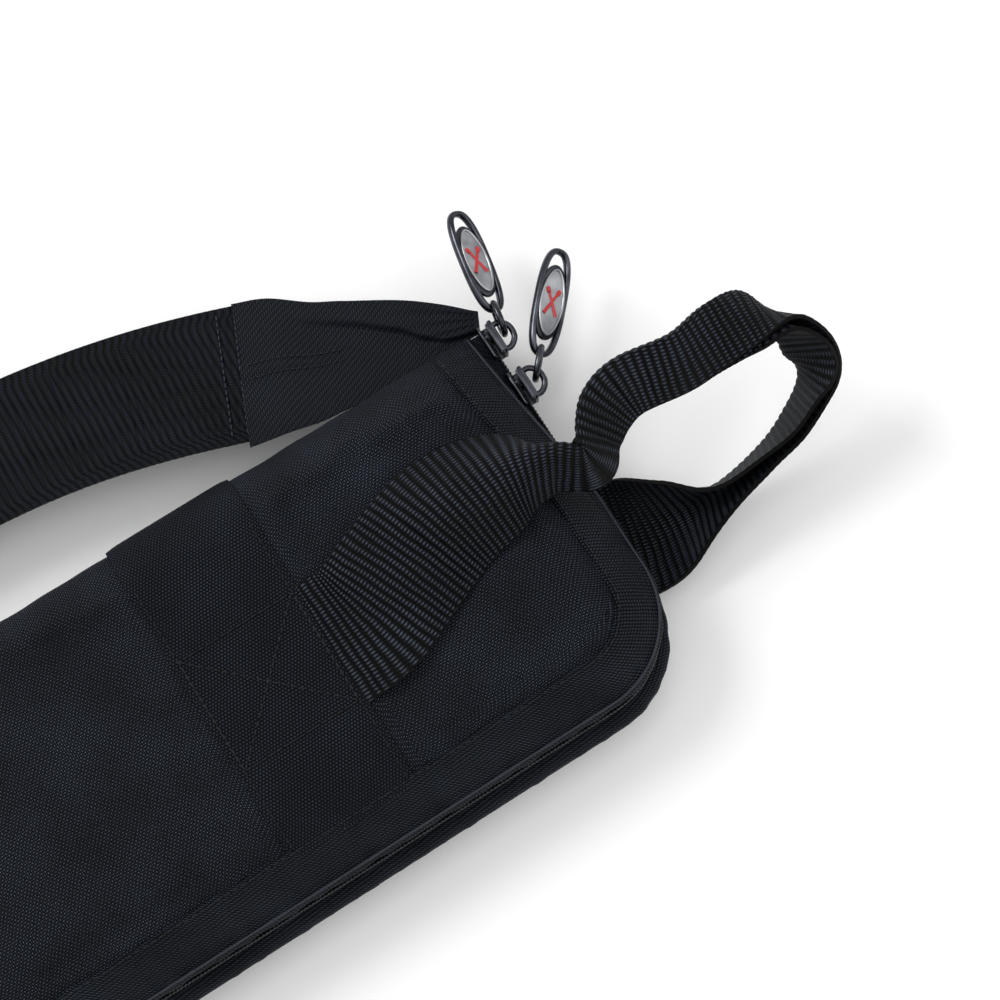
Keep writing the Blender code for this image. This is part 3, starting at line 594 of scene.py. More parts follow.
standOff = puffField()
shellGrid = coverGrid(np.linspace(-1, 1, rowCount), body["seamIn"] - 4, 131)
shellNormals = gridNormals(shellGrid)
inFrom = edgeDistance(shellGrid[..., 0], shellGrid[..., 1])[..., None]
onTop = (shellGrid[..., 2:] > body["zipZ"])
shellGrid = shellGrid + shellNormals * (relief(shellGrid, 0.35, 1.3) * smooth(12, 40, inFrom) * onTop)
shellGrid[..., 2:] += sampleField(standOff, shellGrid[..., 0], shellGrid[..., 1])[..., None] * onTop
shell = gridPiece("outerCover", leanOut(shellGrid), coverCloth, thickness=1.2)
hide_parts("front_cover", "back_cover", "front_foam", "back_foam")
bend(shell)

liningGrid = coverGrid(np.linspace(-1, 1, 101), body["seamIn"] - 8, 91)
liningGrid = liningGrid - gridNormals(liningGrid) * 6.2
lining = gridPiece("innerLining", leanOut(liningGrid), liningCloth, thickness=0.8)
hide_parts("front_lining", "back_lining")
bend(lining)
print("cover and lining done")

# bound edges and the zip

edge = {"top": 71.8, "endSteps": 46, "cornerSteps": 26, "sideSteps": 150}


def edgeLine(inset, out=0.0):
    # the opening's edge, that far in: down one end, round a corner, along the side and up the other end
    r, low = body["cornerR"], body["openY"]
    ys = edge["top"] - (edge["top"] - low - r) * np.linspace(0, 1, edge["endSteps"], endpoint=False) ** 1.6
    end = np.stack([endAt(ys) * (1 - out) + body["halfLong"] * out - inset, ys], axis=1)
    a = np.linspace(0, math.pi / 2, edge["cornerSteps"], endpoint=False)
    corner = np.stack([body["halfLong"] - r + (r - inset) * np.cos(a),
                       low + r - (r - inset) * np.sin(a)], axis=1)
    xs = np.linspace(body["halfLong"] - r, 0, edge["sideSteps"] // 2 + 1)
    side = np.stack([xs, np.full_like(xs, low + inset)], axis=1)
    half = np.vstack([end, corner, side])
    return np.vstack([half, (half * [-1, 1])[::-1][1:]])


def edgeStrip(insets, heights, front, outs=None):
    # heights: (share of the edge's own height, lift over the padding) at each inset
    columns = []
    for inset, (share, lift), out in zip(insets, heights, outs or [0.0] * len(insets)):
        flat = edgeLine(inset, out)
        z = padHeight(flat[:, 0], flat[:, 1], front) - body["zipZ"]
        if share is not None:
            rise = body["frontRise"] if front else -body["backRise"]
            z = share * body["edgeShare"] * spineShare(flat[:, 1]) * rise
        columns.append(np.column_stack([flat, body["zipZ"] + z + (lift if front else -lift)]))
    grid = leanOut(np.stack(columns, axis=1))
    return grid if front else grid[:, ::-1]


binding = {"insets": [16.2, 15.4, 14.2, 11, 8, 5, 3.2, 2.4, 1.6, 0.6, -0.4, -1.2, -1.4, -0.9, 0.4, 2.2],
           "heights": [(None, 0.2), (None, 1.3), (None, 1.75), (None, 1.7), (None, 1.75), (None, 1.8),
                       (None, 1.75), (None, 1.3), (None, 1.6), (None, 1.5), (1.12, 0.0), (0.95, 0.0),
                       (0.74, 0.0), (0.55, 0.0), (0.42, 0.0), (0.38, 0.0)]}
tape = {"insets": [3.2, 2.6, 2.2, 1.6, 1.2, 1.0], "outs": [0.0, 0.0, 0.1, 0.6, 0.9, 1.0],
        "heights": [(0.7, 0), (0.45, 0), (0.3, 0), (0.2, 0), (0.12, 0), (0.05, 0)]}
for front, word in ((True, "front"), (False, "back")):
    grid = edgeStrip(binding["insets"], binding["heights"], front)
    along = np.arange(len(grid))[:, None, None]
    pucker = 0.22 * np.sin(along * 0.9) * np.sin(along * 0.23 + 1) + 0.16 * np.sin(along * 1.7)
    grid = grid + gridNormals(grid) * pucker
    strip = gridPiece(word + "Binding", grid, bindingCloth, gridUv(grid, 0, 0), thickness=0.9)
    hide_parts(word + "_binding")
    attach(strip, word + "_half")
    grid = edgeStrip(tape["insets"], tape["heights"], front, tape["outs"])
    strip = gridPiece(word + "ZipTape", grid, zipCloth, gridUv(grid, 0, 0), thickness=0.6)
    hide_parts(word + "_zip_tape")
    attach(strip, word + "_half")


def capsules(name, centres, along, up, length, radius, material, sag=0.0, flat=1.0):
    # many short rounded threads or teeth as one mesh
    centres, along, up = (np.asarray(a, float) for a in (centres, along, up))
    along = unit(np.broadcast_to(along, centres.shape))
    up = np.broadcast_to(up, centres.shape)
    side = unit(np.cross(up, along))
    up = np.cross(along, side)
    stops = np.array([-0.5, -0.44, -0.3, 0.0, 0.3, 0.44, 0.5])
    sizes = np.array([0.15, 0.7, 0.95, 1.0, 0.95, 0.7, 0.15])
    turn = np.linspace(0, 2 * math.pi, 7)[:-1]
    ring = (side[:, None, None] * (np.cos(turn)[None, None, :, None] * radius)
            + up[:, None, None] * (np.sin(turn)[None, None, :, None] * radius * flat))
    ring = ring * sizes[None, :, None, None]
    middle = centres[:, None] + along[:, None] * (stops[None, :, None] * length) \
        - up[:, None] * ((4 * stops ** 2)[None, :, None] * sag)
    points = (middle[:, :, None] + ring).reshape(-1, 3)
    each = len(stops) * 6
    faces = []
    for i in range(len(stops) - 1):
        for j in range(6):
            faces.append([i * 6 + j, i * 6 + (j + 1) % 6, i * 6 + 6 + (j + 1) % 6, i * 6 + 6 + j])
    ends = [[5, 4, 3, 2, 1, 0], [each - 6 + j for j in range(6)]]
    whole = []
    for n in range(len(centres)):
        whole += [[v + n * each for v in f] for f in faces + ends]
    mesh = bpy.data.meshes.new(name)
    mesh.from_pydata((points * mm).tolist(), [], whole)
    mesh.materials.append(material)
    mesh.shade_smooth()
    piece = bpy.data.objects.new(name, mesh)
    bpy.context.scene.collection.objects.link(piece)
    return piece


def spaced(line, pitch, offset=0.0):
    # places along a line at an even pitch, with the line's direction there
    line = np.asarray(line, float)
    steps = np.linalg.norm(np.diff(line[:, :3], axis=0), axis=1)
    at = np.concatenate([[0], np.cumsum(steps)])
    want = np.arange(offset, at[-1], pitch)
    places = np.stack([np.interp(want, at, line[:, k]) for k in range(line.shape[1])], axis=1)
    ahead = np.stack([np.interp(want + 0.2, at, line[:, k]) for k in range(3)], axis=1)
    behind = np.stack([np.interp(want - 0.2, at, line[:, k]) for k in range(3)], axis=1)
    return places, unit(ahead - behind)


zipPitch = 1.55
for front, word in ((True, "front"), (False, "back")):
    flat = edgeLine(0.6, 1.0)
    line = leanOut(np.column_stack([flat, np.full(len(flat), body["zipZ"])]))
    line[:, 2] += 0.55 if front else -0.55
    places, heading = spaced(line, zipPitch, 0.0 if front else zipPitch / 2)
    teeth = capsules(word + "ZipCoil", places, [0, 0, 1.0], heading, 2.4, 0.62, coilNylon)
    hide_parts(word + "_zip_coil")
    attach(teeth, word + "_half")
print("bindings and zip done")

# webbing bands round the bag


def ribs(grid, pitch, depth, power=0.7):
    # raised ribs across a strap, measured along its middle column
    middle = grid[:, grid.shape[1] // 2]
    along = np.concatenate([[0], np.cumsum(np.linalg.norm(np.diff(middle, axis=0), axis=1))])
    wave = np.abs(np.sin(math.pi * along / pitch)) ** power - 0.5
    # the woven edge is tighter, so ribs flatten towards it
    spot = np.arange(grid.shape[1])
    tight = 0.3 + 0.7 * smooth(0, 2.5, np.minimum(spot, spot[::-1]))
    return grid + gridNormals(grid) * (wave[:, None, None] * tight[None, :, None] * depth)


def roundLine(x, first, count, lift):
    # a line round the body at one station, lifted off it
    ys = spineStops(first)
    xs = np.full_like(ys, x)
    top = np.stack([xs, ys, padHeight(xs, ys, True)], axis=1)
    low = np.stack([xs, ys, padHeight(xs, ys, False)], axis=1)
    line = resample(np.vstack([top, low[::-1][1:]]), count)
    across = np.gradient(line, axis=0)
    normal = unit(np.cross(np.array([1.0, 0, 0]), across))
    return line + normal * lift


bandLow, bandHigh = boxOf("front_band_handle_end")
band = {"start": float(bandLow[0]), "end": float(bandHigh[0]), "first": -56.0, "lift": 1.5, "thick": 1.2}
for sign, word in ((1, "handle_end"), (-1, "far_end")):
    xs = np.linspace(band["start"], band["end"], 19) * sign
    grid = leanOut(np.stack([roundLine(x, band["first"], 420, band["lift"]) for x in xs], axis=1))
    if sign < 0:
        grid = grid[:, ::-1]
    grid = grid[:, ::-1]
    edgeDip = np.minimum(np.arange(19), np.arange(19)[::-1])
    drop = np.where(edgeDip == 0, 0.5, np.where(edgeDip == 1, 0.12, 0.0))[None, :, None]
    normals = gridNormals(grid)
    grid = ribs(grid - normals * drop, 2.2, 0.12)
    piece = gridPiece("band" + ("HandleEnd" if sign > 0 else "FarEnd"), grid, bandWebbing,
                      gridUv(grid, 0, 9), thickness=band["thick"])
    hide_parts("front_band_" + word, "back_band_" + word)
    bend(piece)


def onPad(line, lift):
    # a flat line laid on the front of the bag
    line = np.asarray(line, float)
    return np.column_stack([line, padHeight(line[:, 0], line[:, 1], True) + lift])


def stitches(name, line, material, pitch=3.0, length=2.5, radius=0.3, up=(0, 0, 1.0)):
    places, heading = spaced(resample(line, 200), pitch, pitch / 2)
    return capsules(name, places, heading, up, length, radius, material, sag=0.25)


box = {"x0": 73.0, "x1": 118.0, "y0": -23.5, "y1": 20.5, "lift": 1.75}
corners = [(box["x0"], box["y0"]), (box["x1"], box["y0"]), (box["x1"], box["y1"]), (box["x0"], box["y1"])]
runs = [corners + corners[:1], [corners[0], corners[2]], [corners[1], corners[3]]]
for count, run in enumerate(runs):
    line = resample(np.array(run, float), 160)
    row = stitches("boxStitch" + str(count + 1), onPad(line, box["lift"]), threadMaterial)
    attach(row, "front_half")
for count, x in enumerate((band["start"] + 2.2, band["end"] - 2.2)):
    ys = np.linspace(-54, 50, 60)
    line = np.stack([np.full_like(ys, x), ys], axis=1)
    row = stitches("bandEdgeStitch" + str(count + 1), onPad(line, band["lift"] + 0.2), threadMaterial,
                   radius=0.24)
    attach(row, "front_half")
for front, word in ((True, "front"), (False, "back")):
    # a thin tube of lighter thread along the tape's fold, a painted highlight where the pressed edge catches
    # the light
    fold = edgeStrip([0.1], [(1.1, 0.9)], front)[:, 0]
    piece = sweepPiece(word + "BindingFoldHighlight", fold, circle(0.42, 8), strapThreadAndFoldHighlight)
    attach(piece, word + "_half")
seam = edgeStrip([14.6], [(None, 1.9)], True)[:, 0]
row = stitches("bindingStitch", resample(seam, 700), threadMaterial, pitch=3.2, radius=0.24)
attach(row, "front_half")
print("bands and stitching done")

# grab handle: one run of webbing, folded in half through the loop

# middle of the strap, way its selvedges point, fold in degrees, fold radius
handleRun = [
    ((108, -2, 57.4), (0, 0, -1), 0, 14), ((116, -2, 57.6), (0, 0, -1), 0, 14),
    ((123, -2, 58.5), (0, 0, -1), 3, 14),
    ((136, -0.5, 59.6), (0, 0, -1), 10, 13), ((155, 7, 60.6), (0, 0.1, -1), 18, 12),
    ((175, 14, 62.0), (0, 0.1, -1), 28, 11), ((193, 16.5, 63.0), (0, 0, -1), 40, 9),
    ((206, 16, 63.6), (0, -0.1, -1), 55, 6), ((218, 11, 64.4), (0, -0.3, -0.95), 76, 3.2),
    ((228.5, 4, 65), (0.1, -0.5, -0.85), 84, 2.2), ((235, 10, 66), (0.22, -0.6, -0.75), 87, 2),
    ((243, 16, 67), (0.15, -0.8, -0.6), 87, 2), ((254, 18.6, 67.3), (0, -0.82, -0.58), 87, 2),
    ((274, 16.2, 67), (-0.06, -0.78, -0.62), 87, 2), ((291, 17.8, 64.5), (-0.1, -0.94, -0.3), 87, 2),
    ((305, 17.2, 60), (-0.12, -0.85, 0.2), 87, 2), ((315.5, 10.5, 53.5), (0.1, -0.3, 0.93), 87, 2),
    ((319.5, -0.5, 45), (0.4, 0, 0.9), 87, 2), ((317, -9, 37.5), (0.35, -0.2, 0.9), 87, 2),
    ((304, -16.5, 30), (0.2, -0.35, 0.9), 87, 2), ((289, -20.5, 24), (0.1, -0.3, 0.93), 86, 2.2),
    ((270, -23, 17.5), (0, -0.3, 0.95), 80, 3),
    ((255, -22, 12.5), (0, -0.2, 0.98), 56, 6),
    ((242, -20.5, 8.5), (0, -0.1, 1), 32, 10), ((229, -17, 4.5), (0, 0, 1), 14, 13),
    ((213, -12, 1.6), (0, 0, 1), 4, 14), ((195, -9, 0.95), (0, 0, 1), 0, 14),
    ((160, -8, 0.9), (0, 0, 1), 0, 14),
    ((100, -8, 0.9), (0, 0, 1), 0, 14)]
handle = {"half": 24.0, "columns": 27, "rows": 1000, "ribPitch": 2.9, "ribDepth": 0.42, "thick": 1.5}
packed = np.array([list(a) + list(b) + [c, d] for a, b, c, d in handleRun], float)
dense = curveThrough(packed * [1, 1, 1, 8, 8, 8, 0.15, 0.5], 3000) / [1, 1, 1, 8, 8, 8, 0.15, 0.5]
steps = np.concatenate([[0], np.cumsum(np.linalg.norm(np.diff(dense[:, :3], axis=0), axis=1))])
stops = np.linspace(0, steps[-1], handle["rows"])
dense = np.stack([np.interp(stops, steps, dense[:, k]) for k in range(8)], axis=1)
middle, point = dense[:, :3], unit(dense[:, 3:6])
tangent = unit(np.gradient(middle, axis=0))
kernel = np.hanning(15) / np.hanning(15).sum()
evened = [np.convolve(np.pad(tangent[:, k], 7, "edge"), kernel, "valid") for k in range(3)]
tangent = unit(np.stack(evened, axis=1))
point = unit(point - tangent * np.sum(point * tangent, axis=1, keepdims=True))
wide = np.cross(tangent, point)
q = np.linspace(-handle["half"], handle["half"], handle["columns"])
theta = np.radians(dense[:, 6:7]) * np.tanh(q[None] / np.maximum(dense[:, 7:8], 1.5))
stepQ = q[1] - q[0]
flatRun = np.cumsum(np.cos(theta), axis=1) * stepQ
foldRun = np.cumsum(np.sin(theta), axis=1) * stepQ
centre = handle["columns"] // 2
flatRun -= flatRun[:, centre:centre + 1]
foldRun -= foldRun[:, centre:centre + 1]
foldRun -= foldRun.mean(axis=1, keepdims=True)
handleGrid = middle[:, None] + wide[:, None] * flatRun[..., None] + point[:, None] * foldRun[..., None]
handleGrid = ribs(handleGrid, handle["ribPitch"], handle["ribDepth"])
handleUv = np.stack([np.broadcast_to(stops[:, None], flatRun.shape),
                     np.broadcast_to(q[None], flatRun.shape)], axis=2)
grab = gridPiece("grabHandle", handleGrid, ribWebbing, handleUv, thickness=handle["thick"])
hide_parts("front_handle_strap", "handle_grip", "back_handle_strap")
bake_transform(grab)
print("grab handle done")

# carry strap and its tails

carry = {"half": 25.0, "z": 28.0, "endX": 147.0, "endY": 106.0, "middleY": 131.0, "thick": 1.8}
xs = np.linspace(-carry["endX"] - 1, carry["endX"] + 1, 620)
ys = carry["middleY"] - (carry["middleY"] - carry["endY"]) * (np.abs(xs) / carry["endX"]) ** 2.2
zs = carry["z"] + 0.5 * np.sin(xs * 0.03)
carryLine = np.stack([xs, ys, zs], axis=1)
across = unit(np.cross(np.array([0, 0, 1.0]), unit(np.gradient(carryLine, axis=0))))
q = np.linspace(-carry["half"], carry["half"], 23)
# both ends are cut on a slant, so rows lean further over near them
leaning = np.sign(xs) * smooth(60, carry["endX"], np.abs(xs)) * 0.08
carryGrid = carryLine[:, None] + across[:, None] * q[None, :, None]
carryGrid[..., 0] += leaning[:, None] * q[None]
carryGrid[..., 2] += 0.5 * np.sin(carryGrid[..., 0] * 0.05 + q[None] * 0.1)
carryGrid = ribs(carryGrid, 3.0, 0.45)
strapPiece = gridPiece("carryStrap", carryGrid, carryWebbingCloth, gridUv(carryGrid),
                       thickness=carry["thick"])
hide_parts("carry_webbing")
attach(strapPiece, "carry_handle")

tail = {"far": [(134, 80.5), (148, 77.6), (160, 74.6), (170, 73.6), (180, 72.6), (208, 72.2), (227, 72.0)],
        "near": [(156, 130.5), (165, 127), (171, 123.5), (181, 115.5), (191, 109.5), (211, 96.5),
                 (230.5, 79)],
        "crease": [0.86, 0.84, 0.82, 0.76, 0.62, 0.3, 0.1]}


def tailGrid(sign):
    count = 120
    low = curveThrough(np.array(tail["far"], float), count)
    high = curveThrough(np.array(tail["near"], float), count)
    creaseAt = np.interp(np.linspace(0, 1, count), np.linspace(0, 1, 7), tail["crease"])
    t = np.linspace(0, 1, 41)
    grid = low[:, None] * (1 - t[None, :, None]) + high[:, None] * t[None, :, None]
    s = np.linspace(0, 1, count)[:, None]
    step = smooth(-0.03, 0.03, t[None] - creaseAt[:, None]) * smooth(0.12, 0.45, s)
    fan = 0.28 * np.sin(t[None] * 30) * smooth(0.45, 1.0, s) * (1 - smooth(0.97, 1.0, s))
    soft = 1.6 * np.sin(s * 5.2 + t[None] * 2.4) * smooth(0.0, 0.2, s) * (1 - smooth(0.85, 1, s))
    coil = 0.9 * np.exp(-((t[None] - 0.5) * 52 / 2.2) ** 2) * (1 - smooth(0.3, 0.45, s))
    z = 28.2 + 2.2 * step + fan + soft + coil
    whole = np.concatenate([grid, z[..., None]], axis=2)
    if sign < 0:
        whole = (whole * [-1, 1, 1])[::-1]
    return whole


def declareSheet(grid):
    uv = gridUv(grid)


for sign, word in ((1, "handle_end"), (-1, "far_end")):
    grid = tailGrid(sign)
    short = "HandleEnd" if sign > 0 else "FarEnd"
    piece = gridPiece("zipTail" + short, grid, zipCloth, gridUv(grid), thickness=1.0)
    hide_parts("tail_strip_" + word)
    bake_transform(piece)
    declareSheet(grid)
    rows = []
    for share in (0.45, 0.55):
        column = int(round(share * 40))
        line = (grid if sign > 0 else grid[::-1])[4:52, column] + [0, 0, 0.3]
        rows.append(line)
    for count, line in enumerate(rows):
        row = stitches("tailStitch" + short + str(count + 1), line, zipThread, pitch=2.2,
                       length=1.7, radius=0.3)
        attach(row, "carry_handle")
    for count, inward in enumerate((2.5, 8.5)):
        index = int(inward / 0.475)
        line = carryGrid[-1 - index if sign > 0 else index][1:-1] + [0, 0, 0.55]
        row = stitches("strapEndStitch" + short + str(count + 1), line, strapThreadAndFoldHighlight, pitch=2.6, length=2.1)
        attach(row, "carry_handle")
print("carry strap done")

# sliders, link rings and pullers


def axesOf(name):
    # middle and the three directions of a CAD node, longest first
    co = np.array([v.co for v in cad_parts[name].data.vertices]) / mm
    _, _, ways = np.linalg.svd(co - co.mean(0), full_matrices=False)
    low, high = boxOf(name)
    return (low + high) / 2, ways


def placed(points, middle, ways):
    return middle + np.asarray(points, float) @ ways


def plate(name, outline, thick, material, middle, ways, bevel=0.4, hole=None):
    # a flat shape cut from sheet with rounded edges, and a hole if one is given
    shape = bmesh.new()
    loops = [outline] + ([hole] if hole is not None else [])
    edges = []
    for loop in loops:
        made = [shape.verts.new((p[0] * mm, p[1] * mm, 0)) for p in loop]
        edges += [shape.edges.new((a, b)) for a, b in zip(made, made[1:] + made[:1])]
    bmesh.ops.triangle_fill(shape, edges=edges, use_beauty=True, normal=(0, 0, 1))
    made = bmesh.ops.extrude_face_region(shape, geom=list(shape.faces))
    lifted = [v for v in made["geom"] if isinstance(v, bmesh.types.BMVert)]
    bmesh.ops.translate(shape, verts=lifted, vec=(0, 0, thick * mm))
    bmesh.ops.translate(shape, verts=shape.verts, vec=(0, 0, -thick * mm / 2))
    bmesh.ops.recalc_face_normals(shape, faces=shape.faces)
    sharp = [e for e in shape.edges if len(e.link_faces) == 2 and e.calc_face_angle(0) > 1.0]
    if bevel:
        bmesh.ops.bevel(shape, geom=sharp, offset=bevel * mm, segments=3, profile=0.5, affect="EDGES")
    turn = Matrix(ways.T.tolist())
    if turn.determinant() < 0:
        bmesh.ops.reverse_faces(shape, faces=shape.faces)
    for v in shape.verts:
        v.co = turn @ v.co + Vector(middle * mm)
    mesh = bpy.data.meshes.new(name)
    shape.to_mesh(mesh)
    shape.free()
    mesh.materials.append(material)
    mesh.shade_smooth()
    mesh.set_sharp_from_angle(angle=math.radians(35))
    piece = bpy.data.objects.new(name, mesh)
    bpy.context.scene.collection.objects.link(piece)
    return piece


def ovalLine(length, width, power=2.0, count=48):
    a = np.linspace(0, 2 * math.pi, count, endpoint=False)
    c, s = np.cos(a), np.sin(a)
    return np.stack([length / 2 * np.sign(c) * np.abs(c) ** (2 / power),
                     width / 2 * np.sign(s) * np.abs(s) ** (2 / power)], axis=1)


def ringSweep(name, loop, radius, tall, material, middle, ways):
    # round stock bent along a closed flat loop
    line = placed(np.column_stack([loop, np.zeros(len(loop))]), middle, ways)
    section = circle(radius, 14) * [1, tall / radius]
    return sweepPiece(name, line, section, material, turn=ways[2], closedLine=True)


puller = {"length": 42.0, "width": 14.0, "rail": 1.2, "tall": 1.7, "badgeLong": 25.0, "badgeWide": 9.8,
          "roll": 0.6}
ringSize = {"length": 14.4, "width": 12.3, "stock": 2.2, "tall": 1.2}
slider = {"outerIn": 0.2, "innerIn": 5.2, "outerThick": 1.4, "innerThick": 1.2, "postLong": 5.0,
          "postWide": 2.2, "postBack": 2.7, "postUp": 3.2, "lipIn": 1.4, "lipOut": 5.0,
          "lipThick": 2.0, "bail": 1.15}
for n in ("1", "2"):
    middle, ways = axesOf("puller_" + n + "_frame")
    ways = ways.copy()
    if ways[0] @ (middle - axesOf("slider_" + n + "_body")[0]) < 0:
        ways[0] *= -1
    p = puller
    rightSide = np.cross(ways[0], [0, 0, 1.0])
    ways[2] = unit(np.array([0, 0, 1.0]) * math.cos(p["roll"]) + rightSide * math.sin(p["roll"]))
    ways[1] = np.cross(ways[2], ways[0])
    loop = ovalLine(p["length"] - 2 * p["rail"], p["width"] - 2 * p["rail"], 2.7, 64)
    rail = ringSweep("pullerRail" + n, loop, p["rail"], p["tall"], gunmetal, middle, ways)
    web = plate("pullerWeb" + n, ovalLine(29.0, p["width"] - 1.8, 2.1), 1.6, gunmetal, middle, ways, 0.35)
    rim = ringSweep("badgeRim" + n, ovalLine(p["badgeLong"], p["badgeWide"], 1.8, 64), 0.5, 0.6, satinMetal,
                    middle + ways[2] * 1.15, ways)
    face = plate("badgeFace" + n, ovalLine(p["badgeLong"], p["badgeWide"], 1.8, 64), 0.7, badgeMetal,
                 middle + ways[2] * 0.85, ways, 0.0)
    for piece, slotName, node in ((rail, "gunmetal", "frame"), (web, "gunmetal", None),
                                  (rim, "satin_metal", "badge"), (face, "satin_metal", None)):
        if node:
            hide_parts("puller_" + n + "_" + node)
        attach(piece, "puller_" + n)
    # two crossed drum sticks, each a tapered shaft with an oval tip
    for count, lean in enumerate((0.5, -0.5)):
        way = ways[0] * math.cos(lean) + ways[1] * math.sin(lean)
        sideways = np.cross(ways[2], way)
        base = middle + ways[2] * 1.3
        shaft = base + np.outer(np.linspace(-5.6, 4.0, 12), way)
        grid = np.array([[s + (sideways * c[0] + ways[2] * c[1]) * w for c in circle(1.0, 10, 0.5)]
                         for s, w in zip(shaft, np.linspace(0.75, 0.5, 12))])
        stick = gridPiece("emblemShaft" + n + str(count + 1), grid, redEnamel, closed=True)
        tip = capsules("emblemTip" + n + str(count + 1), [base + way * 4.7], way, ways[2], 2.6, 0.95,
                       redEnamel, flat=0.6)
        for piece in (stick, tip):
            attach(piece, "puller_" + n)
        if count == 0:
            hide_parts("puller_" + n + "_emblem")
    # oval link ring
    middle, ways = axesOf("link_ring_" + n)
    ways = np.array([ways[0], ways[1], np.cross(ways[0], ways[1])])
    loop = ovalLine(ringSize["length"] - ringSize["stock"], ringSize["width"] - ringSize["stock"], 2.3)
    link = ringSweep("linkRing" + n, loop, ringSize["stock"] / 2, ringSize["tall"], gunmetal, middle, ways)
    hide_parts("link_ring_" + n)
    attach(link, "link_ring_" + n)
    # slider: an outer and an inner shield joined by a post, with a bail for the link ring
    low, high = boxOf("slider_" + n + "_body")
    at = np.array([(low[0] + high[0]) / 2, (low[1] + high[1]) / 2, body["zipZ"]])
    ways = np.array([[0, 1.0, 0], [0, 0, 1.0], [1.0, 0, 0]])
    shield = np.array([(-6.9, -3.9), (-6.2, -4.7), (-1, -5.3), (4.4, -5.7), (6.6, -4.2), (7.2, -1.6),
                       (7.2, 1.6), (6.6, 4.2), (4.4, 5.7), (-1, 5.3), (-6.2, 4.7), (-6.9, 3.9)])
    flank = np.array([(-6.4, -0.7), (5.5, -0.9), (5.5, 0.9), (-6.4, 0.7)])
    outer = plate("sliderOuter" + n, shield, slider["outerThick"], gunmetal, at - [slider["outerIn"], 0, 0],
                  ways, 0.5)
    inner = plate("sliderInner" + n, shield, slider["innerThick"], gunmetal, at - [slider["innerIn"], 0, 0],
                  ways, 0.45)
    post = plate("sliderPost" + n, ovalLine(slider["postLong"], slider["postWide"]), slider["innerIn"],
                 gunmetal,
                 at + [-slider["postBack"], slider["postUp"], 0], ways, 0.0)
    arch = np.array([at + [0.2, -5.0, 0], at + [2.8, -5.0, 0], at + [5.6, -2.4, 0], at + [5.9, 2.0, 0],
                     at + [3.4, 5.0, 0], at + [0.2, 5.2, 0]])
    bail = sweepPiece("sliderBail" + n, curveThrough(arch, 30), circle(slider["bail"], 12, 0.8), gunmetal,
                      turn=[0, 0, 1.0])
    for side in (-1, 1):
        lip = plate("sliderLip" + n + ("A" if side > 0 else "B"), flank, slider["lipThick"], gunmetal,
                    at + [-slider["lipIn"], 0, slider["lipOut"] * side], ways, 0.3)
        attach(lip, "slider_" + n)
    for piece in (outer, inner, post, bail):
        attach(piece, "slider_" + n)
    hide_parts("slider_" + n + "_body")
print("metal parts done")

# pockets inside

pocketLow, pocketHigh = boxOf("stick_pocket")
channels = {"count": 3, "above": 8.0, "tall": 10.5, "closedRun": 34.0}
xs = np.linspace(pocketLow[0], pocketHigh[0], 90)
ys = np.linspace(pocketLow[1], pocketHigh[1], 97)
gx, gy = np.meshgrid(xs, ys, indexing="ij")
across = np.abs(np.sin(math.pi * channels["count"] * (gy - pocketLow[1]) / (pocketHigh[1] - pocketLow[1])))
open01 = smooth(pocketLow[0], pocketLow[0] + channels["closedRun"], gx)
base = padHeight(gx, gy, False) - restLift(gx, gy) + channels["above"]
gz = base + (0.8 + (channels["tall"] - 0.8) * open01) * across ** 0.62
stickGrid = np.stack([gx, gy, gz], axis=2)
pocket = gridPiece("stickPocket", stickGrid, liningCloth, thickness=0.9)
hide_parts("stick_pocket")
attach(pocket, "back_half")
declareSheet(stickGrid)
rimLine = resample(stickGrid[-1] + [1.0, 0, -0.4], 160)
rim = sweepPiece("stickPocketBinding", rimLine, ovalLine(2.6, 5.2, 3.0, 16), bindingCloth, turn=[1.0, 0, 0])
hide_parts("stick_pocket_binding")
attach(rim, "back_half")
for k in range(1, channels["count"]):
    y = pocketLow[1] + (pocketHigh[1] - pocketLow[1]) * k / channels["count"]
    xs = np.linspace(pocketLow[0] + 2, pocketHigh[0] - 2, 60)
    ys = np.full_like(xs, y)
    line = np.stack([xs, ys, padHeight(xs, ys, False) - restLift(xs, ys) + channels["above"] + 0.5], axis=1)
    row = stitches("channelStitch" + str(k), line, threadMaterial)
    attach(row, "back_half")

pocketLow, pocketHigh = boxOf("accessory_pocket")
flap = {"below": 8.2, "drop": 8.5}
xs = np.linspace(pocketLow[0], pocketHigh[0], 80)
ys = np.linspace(pocketLow[1], pocketHigh[1], 70)
gx, gy = np.meshgrid(xs, ys, indexing="ij")
t = np.clip((gy - pocketLow[1]) / (pocketHigh[1] - pocketLow[1]), 0, 1)
share = (4 * t * (1 - t)) ** 0.45 * smooth(pocketLow[0], pocketLow[0] + 24, gx)
gather = 0.7 * np.sin(gy * 1.15) * smooth(pocketHigh[0] - 22, pocketHigh[0], gx)
gz = padHeight(gx, gy, True) - flap["below"] - flap["drop"] * share + gather * share
flapGrid = np.stack([gx, gy, gz], axis=2)[:, ::-1]
pocket = gridPiece("accessoryPocket", flapGrid, liningCloth, thickness=0.9)
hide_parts("accessory_pocket")
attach(pocket, "front_half")
declareSheet(flapGrid)
hemLine = resample(flapGrid[-1] + [1.5, 0, 0.4], 200)
hem = sweepPiece("pocketElastic", hemLine, ovalLine(2.2, 6.0, 3.0, 16), elasticCloth, turn=[1.0, 0, 0])
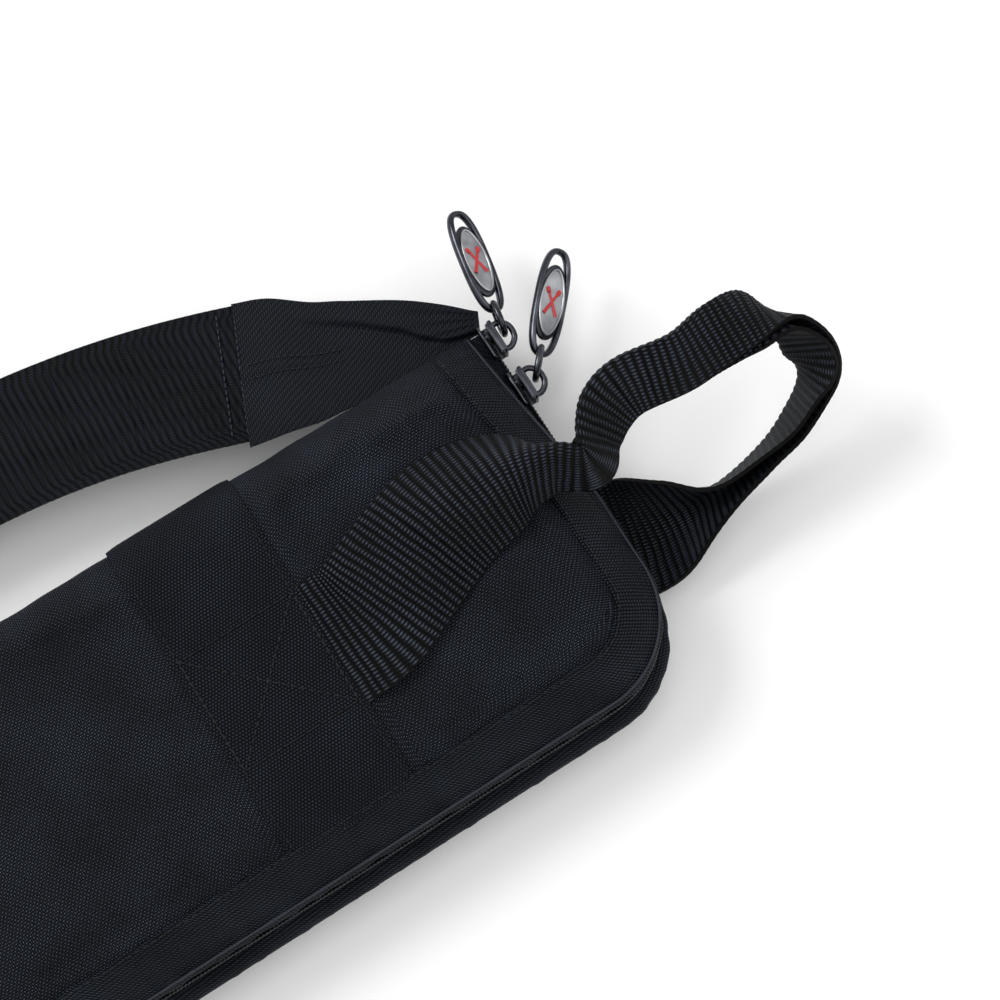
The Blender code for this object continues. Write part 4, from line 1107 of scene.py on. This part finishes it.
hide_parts("accessory_pocket_elastic")
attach(hem, "front_half")
print("pockets done")


# camera and light, a plain pale studio

def lookFrom(target, azimuth, elevation, distance, lens):
    a, e = math.radians(azimuth), math.radians(elevation)
    back = Vector((math.sin(a) * math.cos(e), -math.cos(a) * math.cos(e), math.sin(e)))
    camera = bpy.data.objects.new("camera", bpy.data.cameras.new("camera"))
    bpy.context.scene.collection.objects.link(camera)
    camera.data.lens = lens
    camera.data.clip_start, camera.data.clip_end = 0.01, 20
    camera.location = Vector(target) + back * distance
    camera.rotation_mode = "QUATERNION"
    camera.rotation_quaternion = (-back).to_track_quat("-Z", "Y")
    bpy.context.scene.camera = camera


lookFrom((0.1975, 0.0122, 0.045), -32.5, 77, 0.831, 85)

floor = bpy.data.objects.new("floor", bpy.data.meshes.new("floor"))
shape = bmesh.new()
bmesh.ops.create_grid(shape, x_segments=1, y_segments=1, size=4)
shape.to_mesh(floor.data)
shape.free()
bpy.context.scene.collection.objects.link(floor)
# matt near-white paper that keeps the dark bag's outline clear
floor.data.materials.append(cloudyColour("paleStudioPaper", 3.0, "fbfbfb", "ffffff", 0.9))


def softLight(name, place, target, size, power):
    lamp = bpy.data.objects.new(name, bpy.data.lights.new(name, "AREA"))
    lamp.data.size = size
    lamp.data.energy = power
    lamp.location = place
    lamp.rotation_mode = "QUATERNION"
    lamp.rotation_quaternion = (Vector(target) - Vector(place)).to_track_quat("-Z", "Y")
    bpy.context.scene.collection.objects.link(lamp)


softLight("keyLight", (-0.55, 1.0, 1.25), (0.15, 0, 0), 0.7, 15)
softLight("fillLight", (1.2, -0.6, 1.2), (0.1, 0, 0), 1.2, 4.5)
softLight("topLight", (0.1, 0.0, 2.0), (0.1, 0, 0), 1.4, 6.5)
world = bpy.data.worlds.new("studio")
world.use_nodes = True
world.node_tree.nodes["Background"].inputs[0].default_value = (1, 1, 1, 1)
world.node_tree.nodes["Background"].inputs[1].default_value = 0.62
bpy.context.scene.world = world
bpy.context.scene.view_settings.view_transform = "Standard"
